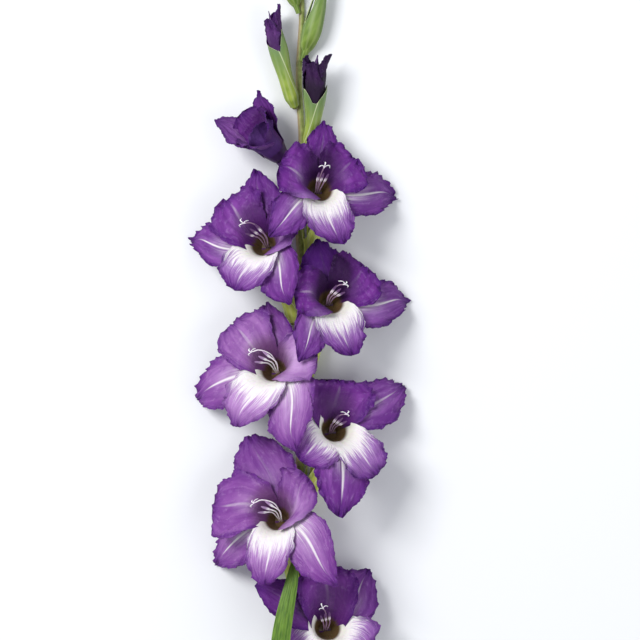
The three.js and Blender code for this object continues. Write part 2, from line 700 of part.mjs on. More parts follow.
// A strap leaf: its base clasps the stalk from above, its blade bends away.
function leafSolid({ from, hug, blade }) {
  const chord = Math.cos(leaf.clasp / leaf.columns);
  const clasp = (y) => (stalkRadius(y) + gap + leaf.thickness / 2) / chord + 0.3;
  const above = (y) => vector(stalkX(y), y, stalkHeight(y) + clasp(y));
  const curve = new THREE.CatmullRomCurve3([
    above(from), above(from + hug * 0.5), above(from + hug), ...blade.map((p) => vector(...p)),
  ], false, 'centripetal');
  const hugEnd = (hug * 1.15) / curve.getLength();
  const surface = (s, t) => {
    const centre = curve.getPointAt(s);
    const direction = curve.getTangentAt(s);
    const out = squareTo(vector(0, 0, 1), direction);
    const across = vector().crossVectors(direction, out);
    const opened = smoothstep(s, hugEnd * 0.7, hugEnd * 2.4);
    const claspRadius = clasp(centre.y);
    const halfWidth = lerp(claspRadius * leaf.clasp, leaf.halfWidth, opened)
      * lerp(0.12, 1, Math.pow(1 - Math.pow(s, leaf.point), 0.8));
    const bend = lerp(1 / claspRadius, leaf.channel, opened);
    const q = t * halfWidth;
    return centre
      .addScaledVector(across, Math.sin(bend * q) / bend)
      .addScaledVector(out, -(1 - Math.cos(bend * q)) / bend);
  };
  return sheet(surface, leaf.rows, leaf.columns, leaf.thickness);
}

// the object

const flower = new THREE.Group();

function addPiece(name, solid, material) {
  const { vertProperties, triVerts } = solid.getMesh();
  const geometry = new THREE.BufferGeometry();
  geometry.setAttribute('position', new THREE.BufferAttribute(new Float32Array(vertProperties), 3));
  geometry.setIndex(new THREE.BufferAttribute(new Uint32Array(triVerts), 1));
  geometry.computeVertexNormals();
  const piece = new THREE.Mesh(geometry, material);
  piece.name = name;
  flower.add(piece);
}

const stalkRoom = stalkSolid(gap);
const clearOfStalk = (solid) => largest(solid.subtract(stalkRoom));

function addBloom(bloom, mouth, index) {
  const frame = bloomFrame(bloom);
  const path = tubePath(bloom, frame);
  const perianthBody = perianthSolid(bloom, frame, path, mouth, index);
  addPiece(`${bloom.name}_perianth`, clearOfStalk(perianthBody), finish.petal);
  const bracts = bractSolid(path, tubeRadius, bloom.bracts ?? { ...bract, side: bloom.side });
  addPiece(`${bloom.name}_bracts`, clearOfStalk(bracts), finish.bract);
  return { frame, path };
}

addPiece('stalk', stalkSolid(0), finish.stalk);
blooms.forEach((bloom, index) => {
  const { frame, path } = addBloom(bloom, openMouth, index);
  addPiece(`${bloom.name}_stamens`, stamenSolid(frame, path, bloom), finish.stamen);
});
addBloom(halfOpen, halfOpenMouth, blooms.length);
colouredBuds.forEach((bud, index) => {
  const path = budPath(bud);
  addPiece(`${bud.name}_petals`, clearOfStalk(rollSolid(bud, path, index)), finish.bud);
  const roomAt = (s) => rollRadius(bud, s) + roll.room * smoothstep(s, 0.25, 0.6);
  addPiece(`${bud.name}_bracts`, clearOfStalk(bractSolid(path, roomAt, bud.bracts)), finish.bract);
});
greenBuds.forEach((bud) => addPiece(bud.name, clearOfStalk(greenBudSolid(bud)), finish.bract));
leaves.forEach((one) => addPiece(one.name, leafSolid(one), finish.leaf));

export default flower;
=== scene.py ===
import math
import bpy
import numpy as np
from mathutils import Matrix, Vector


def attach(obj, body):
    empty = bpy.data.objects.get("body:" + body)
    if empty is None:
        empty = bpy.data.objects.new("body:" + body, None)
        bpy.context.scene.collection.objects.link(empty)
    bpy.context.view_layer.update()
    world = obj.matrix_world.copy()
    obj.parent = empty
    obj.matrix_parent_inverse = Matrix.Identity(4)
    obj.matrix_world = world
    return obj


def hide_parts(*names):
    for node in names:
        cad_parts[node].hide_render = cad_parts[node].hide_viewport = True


# A cut gladiolus spike lying on its back, seen from straight above.
# Lengths are in millimetres until a mesh is made, +Y runs along the stalk to its tip, +Z is up.

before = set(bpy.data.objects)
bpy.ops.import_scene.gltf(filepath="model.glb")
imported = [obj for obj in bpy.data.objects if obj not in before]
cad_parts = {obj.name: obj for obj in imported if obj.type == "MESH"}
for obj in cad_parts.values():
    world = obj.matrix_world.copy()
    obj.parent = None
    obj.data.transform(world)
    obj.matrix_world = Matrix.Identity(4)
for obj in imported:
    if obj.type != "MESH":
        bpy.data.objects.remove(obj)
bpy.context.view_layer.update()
mm = 0.001
root = "root"


# small helpers on arrays of points
def unit(v):
    return v / np.maximum(np.linalg.norm(v, axis=-1, keepdims=True), 1e-9)


def vec(*values):
    return np.array(values, dtype=float)


def smooth(x, low, high):
    x = np.clip((x - low) / (high - low), 0, 1)
    return x * x * (3 - 2 * x)


def mixed(a, b, x):
    return a + (b - a) * x


def squareTo(direction, other):
    other = unit(other)
    return unit(direction - np.sum(direction * other, axis=-1, keepdims=True) * other)


def draw(seed):
    # from 0 to 1, always the same for the same seed
    value = math.sin(seed * 12.9898 + 4.137) * 43758.5453
    return value - math.floor(value)


def bezier(s, a, b, c, d):
    r = 1 - s
    return r * r * r * a + 3 * r * r * s * b + 3 * r * s * s * c + s * s * s * d


wanderWaves = ((0.5, 1, 1), (0.3, 2.17, 2.1), (0.2, 4.31, 3.7))  # size, pace and phase of each wave
wanderTurn = 6.283


def wander(x, seed):
    # a soft wave with no clear period, from -1 to 1
    start = wanderTurn * draw(seed)
    return sum(size * np.sin(pace * x + phase * start) for size, pace, phase in wanderWaves)


# a path is place(s) and heading(s), with s from 0 to 1, and its length
def headingOf(place, step):
    def heading(s):
        s = np.asarray(s, dtype=float)
        return unit(place(np.minimum(s + step, 1)) - place(np.maximum(s - step, 0)))

    return heading


def bezierPath(a, b, c, d):
    # one cubic curve, by its own parameter
    def place(s):
        return bezier(np.asarray(s, dtype=float)[..., None], a, b, c, d)

    dense = place(np.linspace(0, 1, 200))
    return place, headingOf(place, 0.004), np.linalg.norm(np.diff(dense, axis=0), axis=1).sum()


def curvePath(points, steps=60):
    # a smooth curve through points, at even lengths
    points = [vec(*p) for p in points]
    ends = [2 * points[0] - points[1], *points, 2 * points[-1] - points[-2]]
    dense = []
    for i in range(len(points) - 1):
        p0, p1, p2, p3 = ends[i:i + 4]
        d0, d1, d2 = (math.sqrt(np.linalg.norm(b - a)) for a, b in ((p0, p1), (p1, p2), (p2, p3)))
        m1 = ((p1 - p0) / d0 - (p2 - p0) / (d0 + d1) + (p2 - p1) / d1) * d1
        m2 = ((p2 - p1) / d1 - (p3 - p1) / (d1 + d2) + (p3 - p2) / d2) * d1
        for x in (k / steps for k in range(steps)):
            dense.append(p1 + m1 * x + (3 * (p2 - p1) - 2 * m1 - m2) * x ** 2
                         + (2 * (p1 - p2) + m1 + m2) * x ** 3)
    dense = np.array([*dense, points[-1]])
    length = np.concatenate([[0], np.cumsum(np.linalg.norm(np.diff(dense, axis=0), axis=1))])

    def place(s):
        at = np.clip(np.asarray(s, dtype=float), 0, 1) * length[-1]
        return np.stack([np.interp(at, length, dense[:, k]) for k in range(3)], axis=-1)

    return place, headingOf(place, 0.01), length[-1]


# a mesh part holds points, faces, marks that the materials read, and its material's place in the piece
def gridFaces(rows, columns, loop):
    width = columns if loop else columns + 1
    i, j = np.meshgrid(np.arange(rows), np.arange(columns), indexing="ij")
    k = (j + 1) % width
    corners = (i * width + j, (i + 1) * width + j, (i + 1) * width + k, i * width + k)
    return np.stack(corners, axis=-1).reshape(-1, 4)


def sheetPart(surface, rows, columns, thickness, marks=None, slot=0):
    # a closed sheet round surface(s, t), with s from 0 to 1 along it and t from -1 to 1 across
    s, t = np.meshgrid(np.linspace(0, 1, rows + 1), np.linspace(-1, 1, columns + 1), indexing="ij")
    s, t = s.ravel(), t.ravel()
    step = 0.003
    middle = surface(s, t)
    along = surface(np.minimum(s + step, 1), t) - surface(np.maximum(s - step, 0), t)
    over = surface(s, np.minimum(t + step, 1)) - surface(s, np.maximum(t - step, -1))
    normal = unit(np.cross(along, over))
    half = (thickness(s, t) if callable(thickness) else np.full_like(s, thickness))[:, None] / 2
    points = np.concatenate([middle + normal * half, middle - normal * half])
    front = gridFaces(rows, columns, False)
    back = len(s)  # the first point of the underside
    grid = np.arange(back).reshape(rows + 1, columns + 1)
    rim = np.concatenate([grid[:, 0], grid[-1, 1:], grid[-2::-1, -1], grid[0, -2:0:-1]])
    after = np.roll(rim, -1)
    edge = np.stack([rim, after, after + back, rim + back], axis=-1)[:, ::-1]
    faces = np.concatenate([front, front[:, ::-1] + back, edge])
    found = {"along": s, "across": t, "under": np.zeros_like(s)}
    found.update(marks(s, t) if marks else {})
    found = {name: np.concatenate([value, value]) for name, value in found.items()}
    found["under"][back:] = 1
    return {"points": points, "faces": [faces], "marks": found, "slot": slot}


def loftPart(rings, marks=None, slot=0):
    # a closed body through rings of points, with a fan at each end
    rings = np.array(rings)
    count, sides = rings.shape[:2]
    points = np.concatenate([rings.reshape(-1, 3), [rings[0].mean(axis=0), rings[-1].mean(axis=0)]])
    j = np.arange(sides)
    k = (j + 1) % sides
    end, top = count * sides, (count - 1) * sides
    first = np.stack([k, j, np.full(sides, end)], axis=-1)
    last = np.stack([top + j, top + k, np.full(sides, end + 1)], axis=-1)
    faces = [gridFaces(count - 1, sides, True), first, last]
    s = np.repeat(np.linspace(0, 1, count), sides)
    t = np.tile(np.linspace(-1, 1, sides, endpoint=False), count)
    found = {"along": s, "across": t, "under": np.zeros_like(s)}
    found.update(marks(s, t) if marks else {})
    found = {name: np.concatenate([value, [value[0]], [value[-1]]]) for name, value in found.items()}
    return {"points": points, "faces": faces, "marks": found, "slot": slot}


def ringsAlong(path, stations, radii, sides, squash=1.0, lead=(1, 0, 0)):
    place, heading, _ = path
    stations = np.asarray(stations, dtype=float)
    centre, direction = place(stations), heading(stations)
    across = squareTo(np.broadcast_to(vec(*lead), direction.shape), direction)
    beside = np.cross(direction, across)
    angle = np.linspace(0, 2 * np.pi, sides, endpoint=False)
    radii = np.broadcast_to(np.asarray(radii, dtype=float), stations.shape)[:, None, None]
    angle = angle[None, :, None]
    around = np.cos(angle) * across[:, None] + squash * np.sin(angle) * beside[:, None]
    return centre[:, None] + radii * around


def roundPath(place, heading, at, radius, angle, away):
    # points round a path, the angle counted from the side that faces `away`
    direction = heading(at)
    out = squareTo(np.broadcast_to(away, direction.shape), direction)
    beside = np.cross(direction, out)
    return place(at) + out * (radius * np.cos(angle))[:, None] + beside * (radius * np.sin(angle))[:, None]


def makePiece(name, parts, materials, nodes, sharp=70):
    # one mesh of all the parts, in metres, in place of the frame's nodes
    points, marks, offset = [], {}, 0
    corners, sizes, slots = [], [], []
    names = sorted({key for part in parts for key in part["marks"]})
    for part in parts:
        points.append(part["points"])
        for key in names:
            marks.setdefault(key, []).append(part["marks"].get(key, np.zeros(len(part["points"]))))
        for faces in part["faces"]:
            corners.append((faces + offset).ravel())
            sizes.append(np.full(len(faces), faces.shape[1]))
            slots.append(np.full(len(faces), part["slot"]))
        offset += len(part["points"])
    points, corners = np.concatenate(points) * mm, np.concatenate(corners)
    sizes, slots = np.concatenate(sizes), np.concatenate(slots)
    mesh = bpy.data.meshes.new(name)
    mesh.vertices.add(len(points))
    mesh.vertices.foreach_set("co", points.ravel())
    mesh.loops.add(len(corners))
    mesh.loops.foreach_set("vertex_index", corners.astype(np.int32))
    mesh.polygons.add(len(sizes))
    starts = np.concatenate([[0], np.cumsum(sizes)[:-1]])
    mesh.polygons.foreach_set("loop_start", starts.astype(np.int32))
    mesh.polygons.foreach_set("material_index", slots.astype(np.int32))
    mesh.update(calc_edges=True)
    mesh.validate()
    for key in names:
        layer = mesh.attributes.new(key, "FLOAT", "POINT")
        layer.data.foreach_set("value", np.concatenate(marks[key]).astype(np.float32))
    for material in materials:
        mesh.materials.append(material)
    mesh.shade_smooth()
    mesh.set_sharp_from_angle(angle=math.radians(sharp))
    piece = bpy.data.objects.new(name, mesh)
    bpy.context.scene.collection.objects.link(piece)
    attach(piece, root)
    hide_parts(*nodes)
    return piece


# node helpers for the materials; a value is a socket, a number or a colour
def feed(tree, value, socket):
    if isinstance(value, bpy.types.NodeSocket):
        tree.links.new(value, socket)
        return
    isColour = socket.type == "RGBA" and isinstance(value, tuple)
    socket.default_value = (*value, 1) if isColour else value


def calc(tree, operation, *values):
    node = tree.nodes.new("ShaderNodeMath")
    node.operation = operation
    for value, socket in zip(values, node.inputs):
        feed(tree, value, socket)
    return node.outputs[0]


def chained(operation):
    def over(tree, first, *others):
        for other in others:
            first = calc(tree, operation, first, other)
        return first

    return over


plus, minus, times = chained("ADD"), chained("SUBTRACT"), chained("MULTIPLY")


def ease(tree, value, low, high, start=0.0, end=1.0):
    # a soft step from start to end while the value goes from low to high
    node = tree.nodes.new("ShaderNodeMapRange")
    node.interpolation_type = "SMOOTHSTEP"
    labels = ("Value", "From Min", "From Max", "To Min", "To Max")
    for given, label in zip((value, low, high, start, end), labels):
        feed(tree, given, node.inputs[label])
    return node.outputs["Result"]


def tint(tree, factor, first, second, how="MIX"):
    node = tree.nodes.new("ShaderNodeMix")
    node.data_type = "RGBA"
    node.blend_type = how
    for value, label in ((factor, "Factor_Float"), (first, "A_Color"), (second, "B_Color")):
        feed(tree, value, next(socket for socket in node.inputs if socket.identifier == label))
    return next(socket for socket in node.outputs if socket.identifier == "Result_Color")


def grainAt(tree, x, y, z, detail=3.0, rough=0.6):
    # noise at a place that the marks give
    place = tree.nodes.new("ShaderNodeCombineXYZ")
    for value, socket in zip((x, y, z), place.inputs):
        feed(tree, value, socket)
    node = tree.nodes.new("ShaderNodeTexNoise")
    for label, value in (("Scale", 1.0), ("Detail", detail), ("Roughness", rough)):
        node.inputs[label].default_value = value
    tree.links.new(place.outputs[0], node.inputs["Vector"])
    return node.outputs["Fac"]


def grainOver(tree, across, along, place, acrossPace, alongPace, detail, rough):
    # noise that runs with a sheet's own directions
    return grainAt(tree, times(tree, across, acrossPace), times(tree, along, alongPace), place, detail, rough)


def mark(tree, name):
    node = tree.nodes.new("ShaderNodeAttribute")
    node.attribute_name = name
    return node.outputs["Fac"]


def newGroup(name, inputs, outputs):
    # inputs: name, kind and first value; outputs: name and kind
    group = bpy.data.node_groups.new(name, "ShaderNodeTree")
    for label, kind, value in inputs:
        socket = group.interface.new_socket(name=label, in_out="INPUT", socket_type=f"NodeSocket{kind}")
        socket.default_value = (*value, 1) if kind == "Color" else value
    for label, kind in outputs:
        group.interface.new_socket(name=label, in_out="OUTPUT", socket_type=f"NodeSocket{kind}")
    return group, group.nodes.new("NodeGroupInput").outputs, group.nodes.new("NodeGroupOutput").inputs


def useGroup(tree, group, **values):
    node = tree.nodes.new("ShaderNodeGroup")
    node.node_tree = group
    for label, value in values.items():
        feed(tree, value, node.inputs[label])
    return node.outputs


def newMaterial(name, roughness, specular=0.35, sheen=0.0, subsurface=0.0, glow=(1, 1, 1)):
    material = bpy.data.materials.new(name)
    material.use_nodes = True
    tree = material.node_tree
    shader = tree.nodes["Principled BSDF"]
    plain = {
        "Roughness": roughness, "Specular IOR Level": specular, "Sheen Weight": sheen, "Sheen Roughness": 0.4,
        "Subsurface Weight": subsurface, "Subsurface Radius": glow, "Subsurface Scale": 0.0012,
    }
    for label, value in plain.items():
        shader.inputs[label].default_value = value
    return material, tree, shader


def dress(tree, shader, colour, height, strength, distance, gloss=None):
    # what a material's nodes give to its shader; strength and distance are of its relief
    feed(tree, colour, shader.inputs["Base Color"])
    if gloss is not None:
        feed(tree, gloss, shader.inputs["Roughness"])
    node = tree.nodes.new("ShaderNodeBump")
    node.inputs["Strength"].default_value = strength
    node.inputs["Distance"].default_value = distance
    tree.links.new(height, node.inputs["Height"])
    tree.links.new(node.outputs[0], shader.inputs["Normal"])


tissueGrain = {  # noise on a tepal: its pace across and along, detail and roughness
    "fine": (24.0, 1.6, 3.0, 0.62),
    "broad": (6.0, 1.3, 2.0, 0.5),
    "cloud": (2.2, 3.4, 2.0, 0.5),
    "crinkle": (7.0, 11.0, 4.0, 0.62),
    "thin": (62.0, 2.4, 3.0, 0.65),
}


def petalTissueGroup():
    # colour and relief of a tepal: veins, dark edge, white blotch, midrib stripe, painted shade under the
    # hood, painted highlights and throat
    group, given, out = newGroup("petalTissue", [
        ("Deep", "Color", (0.1, 0.02, 0.25)), ("Mid", "Color", (0.2, 0.06, 0.4)),
        ("Light", "Color", (0.5, 0.3, 0.7)), ("Edge", "Color", (0.05, 0.01, 0.2)),
        ("Pale", "Color", (0.9, 0.9, 0.85)), ("Cream", "Color", (0.9, 0.86, 0.7)),
        ("Hood", "Color", (0.03, 0.01, 0.05)), ("Throat", "Color", (0.06, 0.03, 0.01)),
        ("Lightness", "Float", 0.3), ("Seed", "Float", 0.0),
    ], [("Color", "Color"), ("Height", "Float"), ("Gloss", "Float")])
    along, across = mark(group, "along"), mark(group, "across")
    aside = calc(group, "ABSOLUTE", across)
    place = plus(group, mark(group, "place"), given["Seed"])
    grains = {name: grainOver(group, across, along, place, *grain) for name, grain in tissueGrain.items()}
    fine, broad, cloud, thin = (grains[name] for name in ("fine", "broad", "cloud", "thin"))
    ground = tint(group, ease(group, broad, 0.26, 0.74), given["Deep"], given["Mid"])

    def lay(mask, colour):
        nonlocal ground
        ground = tint(group, mask, ground, given[colour])

    # paler towards the heart of the bloom, with soft clouds
    mottle = ease(group, plus(group, cloud, times(group, fine, 0.35)), 0.4, 0.9)
    fade = times(group, ease(group, along, 0.95, 0.15), ease(group, aside, 1.0, 0.1), mottle)
    lay(times(group, fade, times(group, given["Lightness"], mark(group, "paleness"))), "Light")
    lay(ease(group, cloud, 0.58, 0.34, 0.0, 0.45), "Deep")
    # fine crinkles, lit on their crests
    lay(ease(group, grains["crinkle"], 0.5, 0.74, 0.0, 0.34), "Light")
    # a lighter tone in broad patches on some tepals, partly painted light
    lay(times(group, mark(group, "lift"), ease(group, broad, 0.25, 0.7, 0.35, 1.0)), "Light")
    # the dark waved edge
    edge = calc(group, "MAXIMUM", ease(group, aside, 0.66, 1.0), ease(group, along, 0.74, 1.0))
    edge = times(group, edge, ease(group, fine, 0.25, 0.62, 0.35, 1.0))
    lay(times(group, edge, 0.85), "Edge")
    # the white blotch runs out in feathers, and thin streaks go on from it to the edge
    feather = times(group, minus(group, plus(group, fine, thin), 1.0), 0.9)
    blotch = mark(group, "blotch")
    spread = minus(group, blotch, along, times(group, calc(group, "POWER", aside, 2.0), 0.12))
    far = plus(group, spread, times(group, minus(group, thin, 0.5), 1.3))
    streak = times(group, ease(group, far, -0.46, 0.1), ease(group, blotch, 0.1, 0.3))
    lay(times(group, streak, minus(group, 0.8, times(group, edge, 0.7))), "Light")
    spread = plus(group, spread, times(group, feather, 0.85))
    lay(ease(group, spread, -0.1, 0.19, 0.0, 0.97), "Pale")
    lay(ease(group, spread, 0.22, 0.5, 0.0, 0.7), "Cream")
    # the stripe on the midrib, with a pale glow on both sides of its root
    width = times(group, minus(group, 1.12, along), 0.075)
    line = times(group, ease(group, calc(group, "DIVIDE", aside, width), 1.9, 0.2),
                 ease(group, along, 0.88, 0.66), ease(group, along, 0.1, 0.24),
                 ease(group, fine, 0.25, 0.6, 0.5, 0.95))
    glow = times(group, ease(group, aside, 0.5, 0.05), ease(group, along, 0.66, 0.2),
                 ease(group, fine, 0.3, 0.65, 0.1, 0.75))
    stripe = calc(group, "MAXIMUM", line, times(group, glow, 0.7))
    lay(times(group, stripe, mark(group, "stripe")), "Pale")
    # a painted highlight in a lit band on a curled margin, and painted shade on the tepals behind
    lay(times(group, mark(group, "band"), 0.75), "Light")
    lay(mark(group, "dusk"), "Edge")
    # painted shade under the hood, deepest where it is strongest, and brown down the throat
    flush = plus(group, mark(group, "hood"), times(group, feather, 0.35))
    lay(ease(group, flush, 0.05, 0.95, 0.0, 0.82), "Hood")
    ground = tint(group, ease(group, flush, 0.85, 1.6, 0.0, 0.85), ground, (0.25, 0.2, 0.25), "MULTIPLY")
    depth = minus(group, mark(group, "throatEnd"), along)
    depth = plus(group, depth, times(group, feather, mark(group, "throatFray")))
    lay(ease(group, depth, 0.0, 0.05), "Throat")
    lay(times(group, mark(group, "under"), 0.12), "Light")
    feed(group, ground, out["Color"])
    rib = times(group, ease(group, aside, 0.05, 0.0), 0.5)
    relief = plus(group, times(group, fine, 0.7), rib, times(group, grains["crinkle"], 2.4))
    feed(group, relief, out["Height"])
    feed(group, ease(group, fine, 0.2, 0.8, 0.5, 0.68), out["Gloss"])
    return group


def greenRibsGroup():
    # parallel ribs of green tissue, with soft patches, and a pale thin margin from `Rim` outwards
    group, given, out = newGroup("greenRibs", [
        ("Dark", "Color", (0.05, 0.12, 0.02)), ("Fresh", "Color", (0.2, 0.35, 0.06)),
        ("Margin", "Color", (0.5, 0.55, 0.3)), ("Cool", "Color", (0.115, 0.2, 0.08)),
        ("Cooling", "Float", 0.0), ("Ribs", "Float", 20.0), ("Rim", "Float", 0.93), ("Seed", "Float", 0.0),
    ], [("Color", "Color"), ("Height", "Float"), ("Gloss", "Float")])
    along, across = mark(group, "along"), mark(group, "across")
    aside = calc(group, "ABSOLUTE", across)
    place = plus(group, mark(group, "place"), given["Seed"])
    wobble = grainOver(group, across, along, place, 3.0, 4.0, 2.0, 0.5)
    fine = grainOver(group, across, along, place, given["Ribs"], 2.0, 3.0, 0.7)
    rib = ease(group, calc(group, "SINE", times(group, across, times(group, given["Ribs"], 3.14))), -0.4, 1.0)
    patch = plus(group, times(group, wobble, 0.65), times(group, fine, 0.35))
    ground = tint(group, ease(group, patch, 0.34, 0.64), given["Dark"], given["Fresh"])
    ground = tint(group, times(group, rib, 0.22), ground, given["Margin"])
    # cooler towards the tip
    cool = plus(group, along, times(group, minus(group, wobble, 0.5), 0.8))
    ground = tint(group, times(group, ease(group, cool, 0.2, 1.1), given["Cooling"]), ground, given["Cool"])
    # the margin, and the seam where one bract laps over the other
    rim = times(group, ease(group, aside, given["Rim"], 1.0), ease(group, fine, 0.2, 0.5, 0.6, 1.0))
    ground = tint(group, rim, ground, given["Margin"])
    seam = calc(group, "ABSOLUTE", minus(group, mark(group, "seam"), 1.0))
    ground = tint(group, ease(group, seam, 0.075, 0.03, 0.0, 0.8), ground, given["Margin"])
    feed(group, ground, out["Color"])
    feed(group, plus(group, times(group, rib, 0.7), times(group, fine, 0.5)), out["Height"])
    feed(group, ease(group, fine, 0.2, 0.8, 0.36, 0.55), out["Gloss"])
    return group


petalTissue = petalTissueGroup()
greenRibs = greenRibsGroup()

# hood: the colour of the painted shade under the hood; edge: the colour of the dark margin, which also serves
# as painted shade all over
violetColours = {
    "deep": (0.095, 0.01, 0.175), "mid": (0.175, 0.03, 0.27), "light": (0.37, 0.19, 0.48),
    "edge": (0.042, 0.003, 0.115), "pale": (0.8, 0.76, 0.77), "cream": (0.8, 0.77, 0.66),
    "hood": (0.058, 0.006, 0.105), "throat": (0.085, 0.05, 0.018),
}
lilacColours = {  # of the paler blooms
    "deep": (0.19, 0.045, 0.27), "mid": (0.3, 0.11, 0.37), "light": (0.52, 0.31, 0.58),
    "edge": (0.1, 0.014, 0.2), "pale": (0.83, 0.79, 0.8), "cream": (0.83, 0.8, 0.7),
    "hood": (0.12, 0.045, 0.11), "throat": (0.075, 0.04, 0.02),
}
greenLooks = {  # rim: where the pale margin begins, from 0 on the midrib to 1 at the edge
    "bractSkin": {"dark": (0.17, 0.26, 0.03), "fresh": (0.36, 0.45, 0.07), "margin": (0.55, 0.6, 0.36),
                  "ribs": 9.0, "rim": 0.9, "seed": 3.0, "cooling": 0.9},
    # bracts of the blooms: a yellower green than bractSkin, and brighter still as painted light on bracts
    # that lie in the blooms' shade
    "bloomBractSkinPaintedLight": {"dark": (0.4, 0.5, 0.06), "fresh": (0.7, 0.77, 0.14), "margin": (0.78, 0.82, 0.46),
                       "ribs": 9.0, "rim": 0.9, "seed": 3.0},
    "greenBudSkin": {"dark": (0.09, 0.165, 0.022), "fresh": (0.22, 0.32, 0.055), "margin": (0.48, 0.54, 0.26),
                     "ribs": 8.0, "rim": 0.88, "seed": 5.0, "cooling": 0.6},
    "leafSkin": {"dark": (0.045, 0.118, 0.01), "fresh": (0.12, 0.235, 0.022), "margin": (0.27, 0.36, 0.075),
                 "ribs": 7.0, "rim": 0.95, "seed": 7.0, "relief": 0.45},
}
tubeLook = {
    "dark": (0.09, 0.1, 0.02), "fresh": (0.22, 0.24, 0.05), "margin": (0.3, 0.32, 0.1), "ribs": 6.0,
    "violet": (0.055, 0.008, 0.1), "brown": (0.08, 0.048, 0.018),
}
stalkLook = {
    "dark": (0.23, 0.27, 0.06), "fresh": (0.4, 0.46, 0.13), "margin": (0.46, 0.5, 0.22), "ribs": 9.0,
    "tan": (0.42, 0.29, 0.17), "joint": (0.14, 0.2, 0.04), "pith": (0.62, 0.66, 0.4),
}
threadLooks = {  # colour at the foot, colour at the tip, roughness
    "filamentSkin": ((0.11, 0.075, 0.045), (0.3, 0.18, 0.28), 0.45),
    "paleFilamentSkin": ((0.55, 0.42, 0.36), (0.95, 0.88, 0.92), 0.45),
    "antherSkin": ((0.9, 0.8, 0.86), (0.14, 0.06, 0.17), 0.6),
    "paleAntherSkin": ((0.93, 0.88, 0.92), (0.42, 0.26, 0.47), 0.6),
    "stigmaSkin": ((0.86, 0.74, 0.86), (0.96, 0.92, 0.95), 0.5),
}


def petalMaterial(name, lilac, lightness, seed, shade=1.0):
    # lilac goes from 0, a deep violet bloom, to 1, a pale one; shade below 1 darkens all of it
    material, tree, shader = newMaterial(
        name, 0.5, specular=0.16, sheen=0.03, subsurface=0.15, glow=(1.0, 0.35, 1.2))
    colours = {
        key.capitalize(): tuple(shade * mixed(a, b, lilac) for a, b in zip(violet, lilacColours[key]))
        for key, violet in violetColours.items()
    }
    made = useGroup(tree, petalTissue, Lightness=lightness, Seed=seed, **colours)
    dress(tree, shader, made["Color"], made["Height"], 0.5, 0.0008, made["Gloss"])
    return material


def greenTissue(tree, look, **values):
    return useGroup(tree, greenRibs, Dark=look["dark"], Fresh=look["fresh"], Margin=look["margin"],
                    Ribs=look["ribs"], **values)


def greenMaterial(name, look):
    material, tree, shader = newMaterial(name, 0.45, specular=0.27, subsurface=0.08, glow=(0.6, 1.0, 0.2))
    made = greenTissue(tree, look, Rim=look["rim"], Seed=look["seed"], Cooling=look.get("cooling", 0.0))
    dress(tree, shader, made["Color"], made["Height"], look.get("relief", 0.3), 0.0005, made["Gloss"])
    return material


def tubeMaterial():
    # green at the ovary, violet towards the throat, brown inside
    material, tree, shader = newMaterial("tubeSkin", 0.45, subsurface=0.05)
    made = greenTissue(tree, tubeLook)
    colour = tint(tree, ease(tree, mark(tree, "along"), 0.5, 0.8), made["Color"], tubeLook["violet"])
    colour = tint(tree, mark(tree, "inside"), colour, tubeLook["brown"])
    dress(tree, shader, colour, made["Height"], 0.2, 0.0004)
    return material


def threadMaterial(name, foot, tip, roughness):
    # filaments, style, anthers: a soft change of colour along them and a fine grain
    material, tree, shader = newMaterial(name, roughness, subsurface=0.2, glow=(1, 0.6, 0.9))
    along = mark(tree, "along")
    grain = grainAt(tree, times(tree, along, 30.0), times(tree, mark(tree, "across"), 3.0), 0.0)
    colour = tint(tree, ease(tree, along, 0.22, 0.6), foot, tip)
    colour = tint(tree, ease(tree, grain, 0.35, 0.7, 0.0, 0.25), colour, tuple(0.6 * c for c in tip))
    dress(tree, shader, colour, grain, 0.3, 0.0003)
    return material


def stalkMaterial():
    # tan on its left flank, yellow-green on the right, darker rings at the nodes, pith at the cut
    material, tree, shader = newMaterial(
        "stalkSkin", 0.42, specular=0.4, subsurface=0.06, glow=(0.7, 1.0, 0.3))
    made = greenTissue(tree, stalkLook)
    colour = tint(tree, times(tree, mark(tree, "tan"), 0.8), made["Color"], stalkLook["tan"])
    colour = tint(tree, times(tree, mark(tree, "joint"), 0.55), colour, stalkLook["joint"])
    colour = tint(tree, mark(tree, "cut"), colour, stalkLook["pith"])
    dress(tree, shader, colour, made["Height"], 0.18, 0.0004, made["Gloss"])
    return material


tubeSkin = tubeMaterial()
stalkSkin = stalkMaterial()
threadSkins = {name: threadMaterial(name, *look) for name, look in threadLooks.items()}
greenSkins = {name: greenMaterial(name, look) for name, look in greenLooks.items()}
print("materials ready")

stalk = {
    "cutY": -600.0, "tipY": 404.0, "cutRadius": 5.0, "midY": -200.0, "midRadius": 3.8, "tipRadius": 1.2,
    "taper": 2.2,  # higher keeps it stout for longer
    "sink": 0.12,  # part of the radius that the flat underside takes off
    "swing": 1.3, "swingLength": 19.0, "swingFrom": (-420, -300),  # its zigzag from node to node
    "sides": 32, "rings": 420,
    "skin": 0.97, "cutEnd": 0.9, "tipEnd": 0.5,  # its radius beside the solid's, all along and at both ends
    "nodeHeight": 0.18, "nodeLength": 2.2, "nodeBelow": 3, "ridges": 9, "ridgeHeight": 0.05,
    "flank": 0.75,  # how far out a tube leaves it
}


def stalkRadius(y):
    y = np.asarray(y, dtype=float)
    lower = mixed(stalk["cutRadius"], stalk["midRadius"], smooth(y, stalk["cutY"], stalk["midY"]))
    along = np.clip((y - stalk["midY"]) / (stalk["tipY"] - stalk["midY"]), 0, 1)
    upper = mixed(stalk["midRadius"], stalk["tipRadius"], along ** stalk["taper"])
    return np.where(y < stalk["midY"], lower, upper)


def stalkX(y):
    return stalk["swing"] * np.sin(np.asarray(y) / stalk["swingLength"]) * smooth(y, *stalk["swingFrom"])


